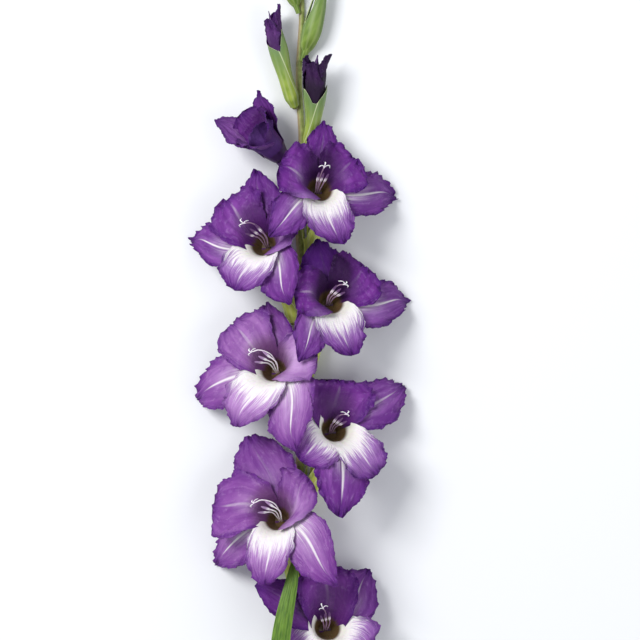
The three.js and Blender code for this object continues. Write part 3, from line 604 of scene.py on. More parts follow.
def stalkHeight(y):
    return stalkRadius(y) * (1 - stalk["sink"])


def nodePoint(side, node, clearance):
    # where a tube leaves the stalk's upper flank
    offset = float(stalkRadius(node)) * stalk["flank"] + clearance
    return vec(float(stalkX(node)) + side * offset, node, float(stalkHeight(node)) + offset)


def buildStalk(nodes):
    y = np.linspace(stalk["cutY"], stalk["tipY"], stalk["rings"])
    angle = np.linspace(0, 2 * np.pi, stalk["sides"], endpoint=False)
    joint = sum(np.exp(-((y - node + stalk["nodeBelow"]) / stalk["nodeLength"]) ** 2) for node in nodes)
    radius = stalkRadius(y) * stalk["skin"] + stalk["nodeHeight"] * joint
    radius[0] *= stalk["cutEnd"]
    radius[-1] *= stalk["tipEnd"]
    ridged = stalk["ridgeHeight"] * np.cos(stalk["ridges"] * angle) * radius[:, None] ** 0.5 + radius[:, None]
    x = stalkX(y)[:, None] + ridged * np.cos(angle)
    z = np.maximum(stalkHeight(y)[:, None] + ridged * np.sin(angle), 0.0)
    rings = np.stack([x, np.broadcast_to(y[:, None], x.shape), z], axis=-1)

    def marks(s, t):
        tan = smooth(-np.cos((t + 1) * np.pi), -0.1, 0.8) * smooth(s, 0.2, 0.45)
        atCut = (s < 0.5 / stalk["rings"]).astype(float)
        return {"tan": tan, "joint": np.repeat(joint, stalk["sides"]), "cut": atCut, "along": s * 60}

    makePiece("stalkSmooth", [loftPart(rings, marks)], [stalkSkin], ["stalk"], 50)


# each bloom has a tube from its node to its neck, and a mouth that opens into the tepals
tube = {
    "neckRadius": 6.5, "radius": 3.2, "ovaryRadius": 3.9, "wall": 0.9, "sides": 40,
    "depth": 15.0, "floorRadius": 3.0,  # of the throat's floor, down from the neck
    "leave": (0.22, 0.95, 0.12), "leaveShare": 0.55,  # which way it leaves the stalk, and how stiffly
    "arriveShare": 0.36,
    "footRoom": 0.6, "foot": 0.55, "stations": 22, "groove": 0.035, "lining": 1.1,
}
openMouth = {"radius": 16.0, "height": 18.0, "wall": 1.2}
halfOpenMouth = {"radius": 11.0, "height": 13.0, "wall": 1.2}
neckHeight = 25.0
faceTilt = (0.32, 0.38)  # outward and up the stalk


def bloomAxes(bloom):
    outward, upward = bloom.get("tilt", faceTilt)
    axis = unit(vec(*bloom.get("axis", (bloom["side"] * outward, upward, 1))))
    up = squareTo(vec(0, 1, 0), axis)
    origin = vec(*bloom["neck"], bloom.get("neckZ", neckHeight))
    return {"origin": origin, "axis": axis, "up": up, "right": np.cross(up, axis)}


def tubePath(bloom, axes):
    start = nodePoint(bloom["side"], bloom["node"], tube["ovaryRadius"] * tube["footRoom"])
    origin, axis = axes["origin"], axes["axis"]
    reach = np.linalg.norm(origin - start)
    outward, upward, lift = tube["leave"]
    leave = unit(vec(bloom["side"] * outward, upward, lift))
    return bezierPath(start, start + leave * reach * tube["leaveShare"],
                      origin - axis * reach * tube["arriveShare"], origin)


def tubeRadius(s):
    ovary = mixed(tube["ovaryRadius"], tube["radius"], smooth(s, 0.1, 0.3))
    return mixed(ovary, tube["neckRadius"], smooth(s, 0.45, 1))


def tubePart(path, axes, mouth, slot):
    place, heading, length = path
    sides = tube["sides"]
    angle = np.linspace(0, 2 * np.pi, sides, endpoint=False)
    outside = np.linspace(0.0, 1.0, tube["stations"])
    footed = tube["ovaryRadius"] * mixed(tube["foot"], 1, smooth(outside, 0, 0.05))
    radii = np.where(outside < 0.05, footed, tubeRadius(outside))
    across, beside, axis = axes["right"], axes["up"], axes["axis"]
    lower = ringsAlong(path, outside, radii, sides, lead=tuple(across))
    centre = place(outside)[:, None]
    lower = centre + (lower - centre) * (1 + tube["groove"] * np.cos(3 * angle)[None, :, None])
    turn = np.cos(angle)[:, None] * across - np.sin(angle)[:, None] * beside

    def mouthRing(x, aside):
        # a ring of the mouth's wall, x from 0 at the neck to 1 at its rim, aside from the wall's middle
        radius = mixed(tube["neckRadius"], mouth["radius"], x * (1.15 - 0.15 * x)) + aside
        return axes["origin"] + axis * mouth["height"] * x + radius * turn

    # up the outside of the mouth, down its inside, and on down the tube to the floor
    steps = np.linspace(0.12, 0.94, 7)
    rise = [mouthRing(x, mouth["wall"] / 2) for x in steps]
    fall = [mouthRing(x, -mouth["wall"] / 2) for x in steps[::-1]]
    down = []
    for x in (0.0, 0.3, 0.6, 1.0):
        s = 1 - x * tube["depth"] / length
        radius = mixed(tube["neckRadius"] - tube["wall"], tube["floorRadius"], x)
        direction = heading(s)
        a = squareTo(across, direction)
        b = np.cross(direction, a)
        down.append(place(s) + radius * (np.cos(angle)[:, None] * a + np.sin(angle)[:, None] * b))
    rings = np.array([*lower, *rise, *fall, *down])
    outerCount = len(lower) + len(rise)

    def marks(s, t):
        ring = np.round(s * (len(rings) - 1)).astype(int)
        return {"along": np.minimum(ring / len(lower), 1.0), "inside": (ring >= outerCount).astype(float)}

    return loftPart(rings, marks, slot)


# root, rise and hold: where a tepal starts on the mouth's rim, how steeply and for how long it goes straight;
# taper and point: from where and how sharply it narrows; bow: how far it bends aside; collar: how far one
# margin curls in over the throat, plus for the right one; throatPart: of its rows, down the throat's wall
outerKind = {
    "root": 0.6, "rootSpan": 0.75, "rise": 44, "hold": 0.24, "point": 1.1, "taper": 0.45, "cup": -0.006,
    "wave": 2.0, "waves": 3.2, "bow": 0.0, "collar": 0.0, "throatPart": 0.0,
}
innerKind = {
    "root": -0.6, "rootSpan": 1.12, "rise": 64, "hold": 0.36, "point": 0.5, "taper": 0.6, "cup": 0.006,
    "wave": 2.4, "waves": 3.6, "bow": 0.0, "collar": 0.0, "throatPart": 0.14,
}
tepalKinds = {
    "top": {**outerKind, "turn": 0, "width": 20, "height": 19, "curl": 14},
    "upperRight": {**innerKind, "turn": 60, "width": 27, "height": 24, "curl": 20},
    "lowerRight": {**outerKind, "turn": 120, "width": 20, "height": 12, "curl": 30},
    "lip": {**innerKind, "turn": 180, "width": 25, "height": 19, "curl": 28, "rise": 52, "taper": 0.32,
            "point": 0.62},
    "lowerLeft": {**outerKind, "turn": 240, "width": 20, "height": 12, "curl": 30},
    "upperLeft": {**innerKind, "turn": 300, "width": 27, "height": 24, "curl": 20},
}
# how a tepal is marked: length of the white blotch, strength of the stripe, how much it pales towards the
# heart, where the brown throat ends and how frayed that end is, how much of the painted shade under the hood
# it takes, painted shade all over, and a lighter tone all over that is partly painted light
plainMarks = {
    "blotch": -0.4, "stripe": 0.12, "paleness": 0.5, "throatEnd": -0.3, "throatFray": 0.0,
    "flush": 0.0, "dusk": 0.0, "lift": 0.0,
}
# the tepals behind take some painted shade under the hood and all over
behindMarks = {**plainMarks, "flush": 0.4, "dusk": 0.25}
# the tepals of the hood take the full painted shade in the hollow over the throat
hoodMarks = {**plainMarks, "stripe": 0.3, "paleness": 0.35, "throatEnd": -0.05, "throatFray": 0.12,
             "flush": 1.0}
stripedMarks = {**plainMarks, "blotch": 0.12, "stripe": 1.0, "paleness": 1.2}
lipMarks = {**plainMarks, "blotch": 0.52, "stripe": 0.8, "paleness": 1.4, "throatEnd": -0.02,
            "throatFray": 0.01}
tepalMarks = {
    "top": behindMarks, "upperRight": {**hoodMarks, "stripe": 0.12}, "lowerRight": stripedMarks,
    "lip": lipMarks, "lowerLeft": stripedMarks, "upperLeft": hoodMarks,
}
# the same for a bloom that faces the other way up, with one tepal at its top and two lips
turnedMarks = {
    "top": {**plainMarks, "stripe": 0.5, "paleness": 1.2, "lift": 0.12},
    "upperRight": {**lipMarks, "paleness": 2.4, "lift": 0.25}, "lowerRight": stripedMarks,
    "lip": {**lipMarks, "blotch": 0.46}, "lowerLeft": behindMarks, "upperLeft": hoodMarks,
}
frill = {
    "length": 9.0, "height": 2.72, "fineLength": 3.0, "fineHeight": 0.6,  # of the small waves along the edge
    "tipFrom": 0.84,  # from here on the waves reach across the tepal
    "notchLength": 2.6, "notch": 0.055,  # how ragged the outline is, as part of the width
    "bayLength": 7.0, "bay": 0.06,
    "pleats": 9, "pleat": 0.52,  # fine folds along the tepal
    "midribWidth": 0.07, "midrib": 0.55,  # a groove along its middle
}
tepal = {
    "rows": 54, "columns": 34, "thickness": 0.5, "edge": 0.28,
    "rootDepth": 2.4,  # how far its root runs on below the rim of the mouth
    "tipWidth": 0.05,  # as part of its width
    "restingCurl": 18, "restingGap": 0.6,  # of the one on the surface: curl in degrees, room under its middle
}
surfaceGap = 0.05  # least height of a point of a bloom, a green bud or a leaf


def turnOf(axes, offset):
    return math.atan2(offset @ axes["right"], offset @ axes["up"])


def nearAngle(angle, other):
    return angle - 2 * math.pi * round((angle - other) / (2 * math.pi))


def tepalTip(bloom, axes, name):
    x, y, *own = bloom["tips"][name]
    origin, axis = axes["origin"], axes["axis"]
    slope = (x - origin[0]) * axis[0] + (y - origin[1]) * axis[1]
    return vec(x, y, own[0] if own else origin[2] + (tepalKinds[name]["height"] - slope) / axis[2])


def tepalSurface(axes, mouth, kind, tip, whorlTurn, seed, ruffle=1.0):
    origin, axis, up, right = axes["origin"], axes["axis"], axes["up"], axes["right"]
    offset = tip - origin
    height = offset @ axis
    reach = np.linalg.norm(offset - axis * height)
    rootTurn = math.radians(kind["turn"]) + whorlTurn
    tipTurn = nearAngle(turnOf(axes, offset), rootTurn)
    rise, curl = math.radians(kind["rise"]), math.radians(kind["curl"])
    # its middle line, as distances from the bloom's axis and heights over the neck
    rootR = mouth["radius"] + kind["root"] - tepal["rootDepth"] * math.cos(rise)
    rootH = mouth["height"] - tepal["rootDepth"] * math.sin(rise)
    length = math.hypot(reach - rootR, height - rootH)
    hold, bend = length * kind["hold"], length * 0.4
    r = [rootR, rootR + hold * math.cos(rise), reach - bend * math.cos(curl), reach]
    h = [rootH, rootH + hold * math.sin(rise), height + bend * math.sin(curl), height]
    rootWidth = (mouth["radius"] + kind["root"]) * kind["rootSpan"]
    phase = 2 * math.pi * draw(seed)
    bow = (draw(seed + 0.5) - 0.5) * 4 + kind["bow"]
    throatPart = kind["throatPart"]

    def halfWidth(s):
        end = np.maximum(0, (s - kind["taper"]) / (1 - kind["taper"]))
        swell = mixed(rootWidth, kind["width"], smooth(s, 0, kind["taper"]))
        return swell * mixed(tepal["tipWidth"], 1, np.maximum(1 - end * end, 0) ** kind["point"])

    # length of the edge from each s on to the tip
    dense = np.linspace(0, 1, 400)
    middleSteps = np.hypot(np.diff(bezier(dense, *r)), np.diff(bezier(dense, *h)))
    edgeSteps = np.hypot(middleSteps, np.diff(halfWidth(dense)))
    toTip = np.concatenate([np.cumsum(edgeSteps[::-1])[::-1], [0]]) + tepal["tipWidth"] * kind["width"]

    def surface(u, t):
        s = np.clip((u - throatPart) / (1 - throatPart), 0, 1)
        down = np.clip((throatPart - u) / max(throatPart, 1e-6), 0, 1) if throatPart else np.zeros_like(u)
        step = 0.002
        radius, level = bezier(s, *r), bezier(s, *h)
        slopeR = bezier(s + step, *r) - bezier(s - step, *r)
        slopeH = bezier(s + step, *h) - bezier(s - step, *h)
        slope = np.hypot(slopeR, slopeH)
        # ragged sides
        edgeAt = t * np.interp(s, dense, toTip)
        jags = frill["notch"] * wander(edgeAt / frill["notchLength"], seed + 2)
        jags = jags + frill["bay"] * wander(edgeAt / frill["bayLength"], seed + 6)
        q = t * halfWidth(s) * (1 + jags * ruffle * smooth(s, 0.15, 0.4))
        # broad waves, then the frill along the edge, fine pleats and the groove on the midrib
        ripple = np.sin(2 * np.pi * kind["waves"] * s + phase + np.where(t > 0, 2.1, 0))
        lift = kind["cup"] * q * q / 2 + kind["wave"] * s ** 1.2 * t * t * ripple * smooth(s, 0.1, 0.4)
        rim = 1 - (1 - np.abs(t) ** 5) * (1 - smooth(s, frill["tipFrom"], 1))
        spread = rim * smooth(s, 0.2, 0.55) * ruffle
        edgeTurn = 2 * np.pi * edgeAt
        lift = lift + frill["height"] * spread * wander(edgeTurn / frill["length"], seed + 3)
        lift = lift + frill["fineHeight"] * spread * wander(edgeTurn / frill["fineLength"], seed + 4)
        pleats = wander(t * frill["pleats"], seed + 5) * smooth(s, 0.12, 0.5) * (1 - 0.5 * s)
        lift = lift + frill["pleat"] * pleats
        groove = np.exp(-(t / frill["midribWidth"]) ** 2) * smooth(s, 0.05, 0.3) * smooth(s, 1.0, 0.7)
        lift = lift - frill["midrib"] * groove
        # round the mouth at its root, flat further out
        turn = mixed(rootTurn, tipTurn, smooth(s, 0, 0.85))[:, None]
        outward = up * np.cos(turn) + right * np.sin(turn)
        opened = smooth(s, 0.15, 0.75)
        alongR = mixed(radius * np.cos(q / radius), radius, opened) - (slopeH / slope) * lift
        alongQ = mixed(radius * np.sin(q / radius), q, opened) + bow * np.sin(np.pi * s)
        level = level + (slopeR / slope) * lift
        # one margin curls in over the throat
        collar = abs(kind["collar"]) * smooth(t * np.sign(kind["collar"]), 0.15, 0.85)
        collar = collar * smooth(s, -0.04, 0.14) * smooth(s, 0.7, 0.2) * (1 - down)
        alongR = alongR - collar
        level = level + 0.45 * collar
        # down the throat the tepal lines the wall
        shrink = mixed(1, (tube["neckRadius"] - tube["lining"]) / rootR, down)
        alongR, alongQ = alongR * shrink, alongQ * shrink
        level = mixed(level, 1.0, down)
        across = np.cross(axis, outward)
        return origin + outward * alongR[:, None] + axis * level[:, None] + across * alongQ[:, None]

    return surface


def lowerToRest(tip, surfaceOf):
    # brings a tip down until its tepal's lowest point is just over the surface it lies on
    tip[2] = 4.0
    u, t = np.meshgrid(np.linspace(0, 1, 40), np.linspace(-1, 1, 25), indexing="ij")
    u, t = u.ravel(), t.ravel()
    for _ in range(5):
        tip[2] += tepal["restingGap"] - surfaceOf(tip)(u, t)[:, 2].min()


def hoodShade(points, axes, mouth, bloom):
    # how much painted shade lies there: 1 in the hollow over the throat, 0 outside it
    lean, reach = bloom.get("hood", (0, 12))
    aside = (points - axes["origin"]) @ axes["right"]
    above = (points - axes["origin"]) @ axes["up"]
    x, y = math.sin(math.radians(lean)), math.cos(math.radians(lean))
    along = np.clip(aside * x + above * y, 0, reach)
    away = np.hypot(aside - along * x, above - along * y)
    return smooth(away, mouth["radius"] * 1.75, mouth["radius"] * 0.4)


def tepalParts(bloom, axes, mouth, index):
    whorlTurn = math.radians(bloom["whorl"])
    shapes, allMarks = bloom.get("shapes", {}), turnedMarks if bloom.get("turned") else tepalMarks
    parts = []
    for i, (name, common) in enumerate(tepalKinds.items()):
        kind = {**common, **shapes.get("all", {}), **shapes.get(name, {})}
        kind["width"] *= bloom.get("widths", 1)
        tip = tepalTip(bloom, axes, name)
        seed = index * 7 + i
        own = {**allMarks[name], **bloom.get("marks", {}), **bloom.get("marksOf", {}).get(name, {})}

        def surfaceOf(point, kind=kind, seed=seed):
            return tepalSurface(axes, mouth, kind, point, whorlTurn, seed, bloom.get("ruffle", 1.0))

        if name == bloom.get("resting"):
            kind["curl"] += tepal["restingCurl"]
            lowerToRest(tip, surfaceOf)
        surface = surfaceOf(tip)

        def marks(u, t, own=own, seed=seed, surface=surface, kind=kind):
            found = {key: np.full_like(u, value) for key, value in own.items()}
            # painted shade under the hood, scaled by the tepal's own share of it
            found["hood"] = found.pop("flush") * hoodShade(surface(u, t), axes, mouth, bloom)
            found["along"] = (u - kind["throatPart"]) / (1 - kind["throatPart"])
            found["band"] = smooth(t * np.sign(kind["collar"]), 0.5, 0.9) * smooth(found["along"], 0.7, 0.3)
            found["place"] = np.full_like(u, seed * 3.7)
            return found

        def thickness(u, t):
            rim = np.maximum(np.abs(t) ** 3, smooth(u, 0.8, 1))
            return mixed(tepal["thickness"], tepal["edge"], rim)

        parts.append(sheetPart(surface, tepal["rows"], tepal["columns"], thickness, marks))
    return parts


# stamens and style; each point of an arch has its height over the neck, its distance towards the top tepal
# and its share of the lean
threads = {
    "filament": 0.55, "style": 0.5, "foot": 2.0,  # radii
    "footRoom": 0.6, "spacing": 1.0, "sides": 12,
    "styleArch": ((6, 4, -0.3), (18, 11, 0.2), (25.5, 16, 0.8), (28, 17.5, 1.1)),
    "stamenArch": ((6, 1, -0.3), (14, 4.6, 0.2), (20.5, 8, 0.9)),
    "stamenFan": (2, 3.4, 4.2),  # how far apart the outer filaments stand at each of those heights
    "anther": 0.95, "antherLength": 9.5, "antherFoot": 2.6,
    "stigma": 4.4, "stigmaTurns": (-1, 0.1, 1),
    "stigmaRadii": (0.34, 0.34, 0.4, 0.6, 0.35),
}


def threadParts(axes, path, lean, scale, seed):
    place, _, length = path
    origin, axis = axes["origin"], axes["axis"]
    deep, spread, thin = tube["depth"], threads["spacing"], threads["filament"]

    def leaning(share):
        turn = math.radians(lean) * share
        return (axes["up"] * math.cos(turn) + axes["right"] * math.sin(turn),
                axes["right"] * math.cos(turn) - axes["up"] * math.sin(turn))

    up, right = leaning(1)

    def over(point, sideways):
        upward, aside = leaning(point[2])
        return origin + scale * (axis * point[0] + upward * point[1] + aside * sideways)

    def below(depth, upward, sideways):
        return place(1 - depth / length) + up * upward + right * sideways

    def bar(points, radii, slot, squash=1.0, steps=36):
        line = curvePath(points)
        s = np.linspace(0, 1, steps)
        sizes = np.interp(s, np.linspace(0, 1, len(radii)), radii)
        rings = ringsAlong(line, s, sizes, threads["sides"], squash, tuple(right))
        return loftPart(rings, slot=slot), line

    points = [below(deep - threads["footRoom"], 0, 0), below(deep / 2, spread, 0)]
    points += [over(point, 0) for point in threads["styleArch"]]
    style, line = bar(points, [threads["foot"], thin, thin, thin, thin, threads["style"]], 0)
    parts = [style]
    end, lead = line[0](1.0), line[1](1.0)
    for i, turn in enumerate(threads["stigmaTurns"]):
        # each thin branch of the stigma arches over, curls back and widens a little
        uneven = 0.75 + 0.5 * draw(seed + i)
        out = unit(up * (0.7 - 0.6 * abs(turn)) * uneven + right * 0.85 * turn)
        reach = threads["stigma"] * uneven
        drop = -axis * reach * 0.35 * abs(turn)
        tips = [end - lead * 0.6, end + lead * reach * 0.45 + out * reach * 0.2,
                end + lead * reach * 0.55 + out * reach * 0.65,
                end + lead * reach * 0.2 + out * reach + drop]
        parts.append(bar(tips, threads["stigmaRadii"], 2, 0.6, 22)[0])
    for i in (-1, 0, 1):
        lower = -spread if i == 0 else -spread * 0.4
        points = [below(deep - 2 * threads["footRoom"], lower * 0.8, spread * i * 0.8),
                  below(deep / 3, lower, spread * 1.4 * i)]
        points += [over(point, fan * i) for point, fan in zip(threads["stamenArch"], threads["stamenFan"])]
        filament, line = bar(points, [thin] * 5, 0)
        parts.append(filament)
        # the anther hangs along the filament's end, two lobes with a furrow between them
        end, lead = line[0](1.0), line[1](1.0)
        long, foot = threads["antherLength"], threads["antherFoot"]
        for lobe in (-0.5, 0.5):
            aside = right * lobe * threads["anther"]
            spine = [end - lead * foot + aside * 0.8, end + lead * long * 0.3 + aside,
                     end + lead * (long - foot) + aside * 0.5]
            full = threads["anther"] * 0.62
            parts.append(bar(spine, [0.3, full * 1.15, full, full, full * 0.8, 0.2], 1, 0.85, 18)[0])
    return parts


# bracts; root and ends: how far along the tube they part and reach; flare: how far they stand off at the tip
bract = {
    "thickness": 0.7, "tipThickness": 0.3, "wrap": 2.85, "root": 0.14, "outerEnd": 0.66, "innerEnd": 0.5,
    "rows": 26, "columns": 56, "flare": 4.0, "flutter": 0.25,
    "out": 0.7,  # how far the outer lobe faces up
    "outerWidth": 1.9, "innerFrom": 1.45,  # how far round each lobe goes
    "seamAt": 1.62, "seamTurn": 1.1,
    "gap": 0.35, "cadThickness": 0.8, "cadColumns": 8,  # of the solid that it covers
}


def bractReach(angle, shape, root):
    turn = np.abs(angle)
    outerLobe = np.maximum(0, 1 - turn / bract["outerWidth"]) ** 0.8
    innerLobe = smooth(turn, bract["innerFrom"], bract["wrap"]) ** 0.7
    return root + (shape["outerEnd"] - root) * outerLobe + (shape["innerEnd"] - root) * innerLobe


def bractPart(path, radiusAt, side, shape, seed):
    # two green lobes round the tube, the outer one facing over the surface it lies on
    place, heading, _ = path
    away = vec(side, 0, shape["out"])
    chord = math.cos(bract["wrap"] / bract["cadColumns"])

    def surface(s, t):
        angle = t * bract["wrap"]
        at = mixed(0.02, bractReach(angle, shape, shape["root"]), s)
        inside = np.maximum(radiusAt(at), radiusAt(0.06)) + bract["gap"] + bract["cadThickness"] / 2
        radius = inside / chord + 0.3 + shape["flare"] * s * s
        radius = radius + bract["flutter"] * s * s * wander(angle * 3 + s * 4, seed)
        return roundPath(place, heading, at, radius * mixed(0.6, 1, smooth(s, 0, 0.15)), angle, away)

    def marks(s, t):
        # the pale margin follows the free edge of both lobes, and the outer one's runs on down over the inner
        angle = np.abs(t) * bract["wrap"]
        at = mixed(0.02, bractReach(angle, shape, shape["root"]), s)
        seam = 1 + angle - bract["seamAt"] - bract["seamTurn"] * (1 - at / shape["root"])
        return {"across": np.maximum(np.abs(t * 0.85), smooth(s, 0.93, 1)) * np.where(t < 0, -1, 1),
                "seam": seam, "place": np.full_like(s, seed)}

    def thickness(s, t):
        return mixed(bract["thickness"], bract["tipThickness"], smooth(s, 0.5, 1))

    return sheetPart(surface, bract["rows"], bract["columns"], thickness, marks)


# one entry for each bloom, from the top down. node: where it leaves the stalk; neck: the middle of its
# throat; tips: X, Y and for some Z of its tepals' ends; resting: the tepal that lies on the surface; lean
# and reach: of its stamens; lilac and lightness: from a deep violet bloom to a pale one; hood: turn and
# reach of the painted shade under the hood; marks and marksOf: changes to the tepals' marks, painted shade
# and painted light among them
blooms = [
    {
        "name": "bloom_1", "side": 1, "node": 42, "neck": (13.5, 107.5), "resting": "lowerRight",
        "lean": 6, "reach": 0.82,
        "tips": {"top": (20, 170), "upperRight": (47, 137), "lowerRight": (82, 105),
                 "lip": (35, 64), "lowerLeft": (-26, 70), "upperLeft": (-17, 131)},
        "shapes": {"top": {"width": 16}, "upperRight": {"width": 25}, "lowerRight": {"width": 22},
                   "lip": {"bow": -5.0, "turn": 174, "width": 23}, "lowerLeft": {"width": 18},
                   "upperLeft": {"width": 26, "point": 0.42, "collar": 6.0, "turn": 286}},
        "marksOf": {"upperLeft": {"flush": 1.4, "paleness": 0.6},
                    "upperRight": {"flush": 1.4, "paleness": 0.6},
                    "lowerLeft": {"paleness": 2.0, "lift": 0.1},
                    "lowerRight": {"paleness": 1.6, "lift": 0.1}},
        "whorl": -2, "lilac": 0.0, "lightness": 0.5, "hood": (0, 20),
    },
    {
        "name": "bloom_2", "side": -1, "node": -4, "neck": (-27.5, 61), "resting": "lowerLeft",
        "lean": -41,
        "tips": {"top": (-37, 129), "upperRight": (-9, 92), "lowerRight": (-8, 13),
                 "lip": (-54, 25), "lowerLeft": (-94, 68), "upperLeft": (-63, 103)},
        "shapes": {"lip": {"width": 26}, "upperRight": {"width": 21, "collar": -5.0, "turn": 72}},
        "marksOf": {"upperLeft": {"paleness": 0.2}, "upperRight": {"paleness": 2.2},
                    "lowerLeft": {"paleness": 1.8}, "lowerRight": {"blotch": 0.12, "paleness": 0.9}},
        "whorl": 6, "lilac": 0.12, "lightness": 0.5, "hood": (-15, 16),
    },
    {
        "name": "bloom_3", "side": 1, "node": -55, "neck": (23, 12), "resting": "lowerRight",
        "lean": 34, "reach": 0.8,
        "tips": {"top": (14, 69), "upperRight": (55, 46), "lowerRight": (93, 15),
                 "lip": (44, -30), "lowerLeft": (-1, -35), "upperLeft": (-5, 23)},
        "shapes": {"lip": {"bow": -5.0, "turn": 178, "width": 23},
                   "upperLeft": {"width": 24, "collar": 6.0, "turn": 288},
                   "lowerLeft": {"width": 17}, "lowerRight": {"width": 22}},
        "marksOf": {"top": {"dusk": 0.8}, "upperLeft": {"flush": 1.9}, "upperRight": {"flush": 1.7},
                    "lowerLeft": {"paleness": 2.0, "lift": 0.12},
                    "lowerRight": {"paleness": 1.8, "lift": 0.2}},
        "whorl": -8, "lilac": 0.0, "lightness": 0.45, "hood": (8, 24),
    },
    {
        "name": "bloom_4", "side": -1, "node": -110, "neck": (-19, -45.5), "resting": "lowerLeft",
        "lean": -51,
        "tips": {"top": (-29, 15), "upperRight": (15, -31), "lowerRight": (-3, -110),
                 "lip": (-54, -90), "lowerLeft": (-89, -68), "upperLeft": (-58, -3)},
        "shapes": {"upperLeft": {"width": 27}, "upperRight": {"width": 24, "collar": -6.0, "turn": 72},
                   "lip": {"width": 26, "point": 0.8}, "lowerLeft": {"width": 25, "point": 0.8},
                   "lowerRight": {"width": 24}},
        "marksOf": {"lowerRight": {"blotch": 0.28, "paleness": 1.6},
                    "upperRight": {"paleness": 3.0, "lift": 0.6}, "lip": {"lift": 0.25},
                    "upperLeft": {"lift": 0.2}},
        "whorl": 8, "lilac": 0.75, "lightness": 0.9, "hood": (-15, 8),
    },
    {
        "name": "bloom_5", "side": 1, "node": -166, "neck": (25.5, -97), "resting": "top",
        "lean": 33, "reach": 0.74, "turned": True,
        "tips": {"top": (90, -56), "upperRight": (65, -131), "lowerRight": (34, -166),
                 "lip": (0, -118), "lowerLeft": (4, -66), "upperLeft": (34, -51)},
        "shapes": {"upperLeft": {"width": 33, "rootSpan": 1.5}, "top": {"width": 22},
                   "upperRight": {"width": 20, "turn": 84}, "lowerRight": {"width": 25, "point": 0.85},
                   "lip": {"width": 25}},
        "whorl": 58, "lilac": 0.12, "lightness": 0.5, "hood": (0, 16),
    },
    {
        "name": "bloom_6", "side": -1, "node": -230, "neck": (-16, -172), "resting": "lowerLeft",
        "lean": -56,
        "tips": {"top": (-43, -99), "upperRight": (6, -133), "lowerRight": (31, -223),
                 "lip": (-30, -223), "lowerLeft": (-73, -211), "upperLeft": (-74, -158)},
        "shapes": {"top": {"width": 27, "point": 0.7},
                   "upperRight": {"width": 23, "collar": -7.0, "turn": 74},
                   "lip": {"width": 22}, "lowerLeft": {"width": 23}, "upperLeft": {"width": 31},
                   "lowerRight": {"width": 22}},
        "marksOf": {"lowerRight": {"blotch": 0.26, "paleness": 0.9},
                    "upperRight": {"paleness": 1.2, "lift": 0.1}},
        "whorl": -4, "lilac": 0.72, "lightness": 0.8, "hood": (-20, 8),
    },
    {
        "name": "bloom_7", "side": 1, "node": -331, "neck": (21, -266), "neckZ": 19, "tilt": (0.2, 0.38),
        "resting": "lowerRight", "lean": -16, "reach": 0.8, "turned": True,
        "tips": {"top": (60, -214), "upperRight": (55, -284), "lowerRight": (36, -325),
                 "lip": (-9, -282, 34), "lowerLeft": (-38, -225, 38), "upperLeft": (19, -210, 34)},
        "shapes": {"upperLeft": {"width": 28, "rootSpan": 1.5}, "upperRight": {"turn": 80},
                   "top": {"width": 23}},
        "bracts": {**bract, "flare": 2.0},
        "whorl": 58, "lilac": 0.1, "lightness": 0.6, "hood": (0, 16),
    },
]
halfOpen = {
    "name": "bloom_half_open", "side": -1, "node": 89, "neck": (-16, 139), "neckZ": 20,
    "axis": (-0.6, 0.65, 0.45), "widths": 0.72, "ruffle": 0.6,
    "tips": {"top": (-36, 196, 26), "upperRight": (-31, 180, 42), "lowerRight": (-37, 165, 50),
             "lip": (-54, 151, 38), "lowerLeft": (-73, 171, 22), "upperLeft": (-50, 177, 22)},
    "shapes": {"all": {"rise": 80, "hold": 0.42, "curl": -45, "wave": 1.2}, "lowerRight": {"width": 27},
               "lowerLeft": {"width": 24}},
    "whorl": 0, "lilac": 0.0, "lightness": 0.3, "hood": (0, 10), "shade": 0.85,
    "marks": {"blotch": -0.5, "stripe": 0.0, "paleness": 0.3, "throatEnd": -0.3},
    "marksOf": {"lowerRight": {"dusk": 1.0, "paleness": 0.1}, "upperRight": {"dusk": 0.6},
                "lip": {"paleness": 2.0, "lift": 0.25}, "lowerLeft": {"paleness": 2.0, "lift": 0.25},
                "top": {"paleness": 1.2}},
    "bracts": {**bract, "out": -0.3, "side": 1, "outerEnd": 0.88, "innerEnd": 0.6, "flare": 2.0},
}


def keepOffSurface(parts):
    for part in parts:
        part["points"][:, 2] = np.maximum(part["points"][:, 2], surfaceGap)


def buildBloom(bloom, mouth, index):
    axes = bloomAxes(bloom)
    path = tubePath(bloom, axes)
    name = bloom["name"]
    shade = bloom.get("shade", 1.0)
    skin = petalMaterial(f"{name}_tissue", bloom["lilac"], bloom["lightness"], index * 11.3, shade)
    parts = [*tepalParts(bloom, axes, mouth, index), tubePart(path, axes, mouth, 1)]
    keepOffSurface(parts)
    makePiece(f"{name}_tepals", parts, [skin, tubeSkin], [f"{name}_perianth"])
    shape = bloom.get("bracts", bract)
    leafy = bractPart(path, tubeRadius, shape.get("side", bloom["side"]), shape, index * 2.3)
    makePiece(f"{name}_spathes", [leafy], [greenSkins["bloomBractSkinPaintedLight"]], [f"{name}_bracts"])
    if bloom is halfOpen:
        return
    pale = ("paleFilamentSkin", "paleAntherSkin")
    names = pale if bloom["lilac"] > 0.5 else ("filamentSkin", "antherSkin")
    skins = [threadSkins[skinName] for skinName in (*names, "stigmaSkin")]
    grown = threadParts(axes, path, bloom["lean"], bloom.get("reach", 1), index)
    makePiece(f"{name}_threads", grown, skins, [f"{name}_stamens"])


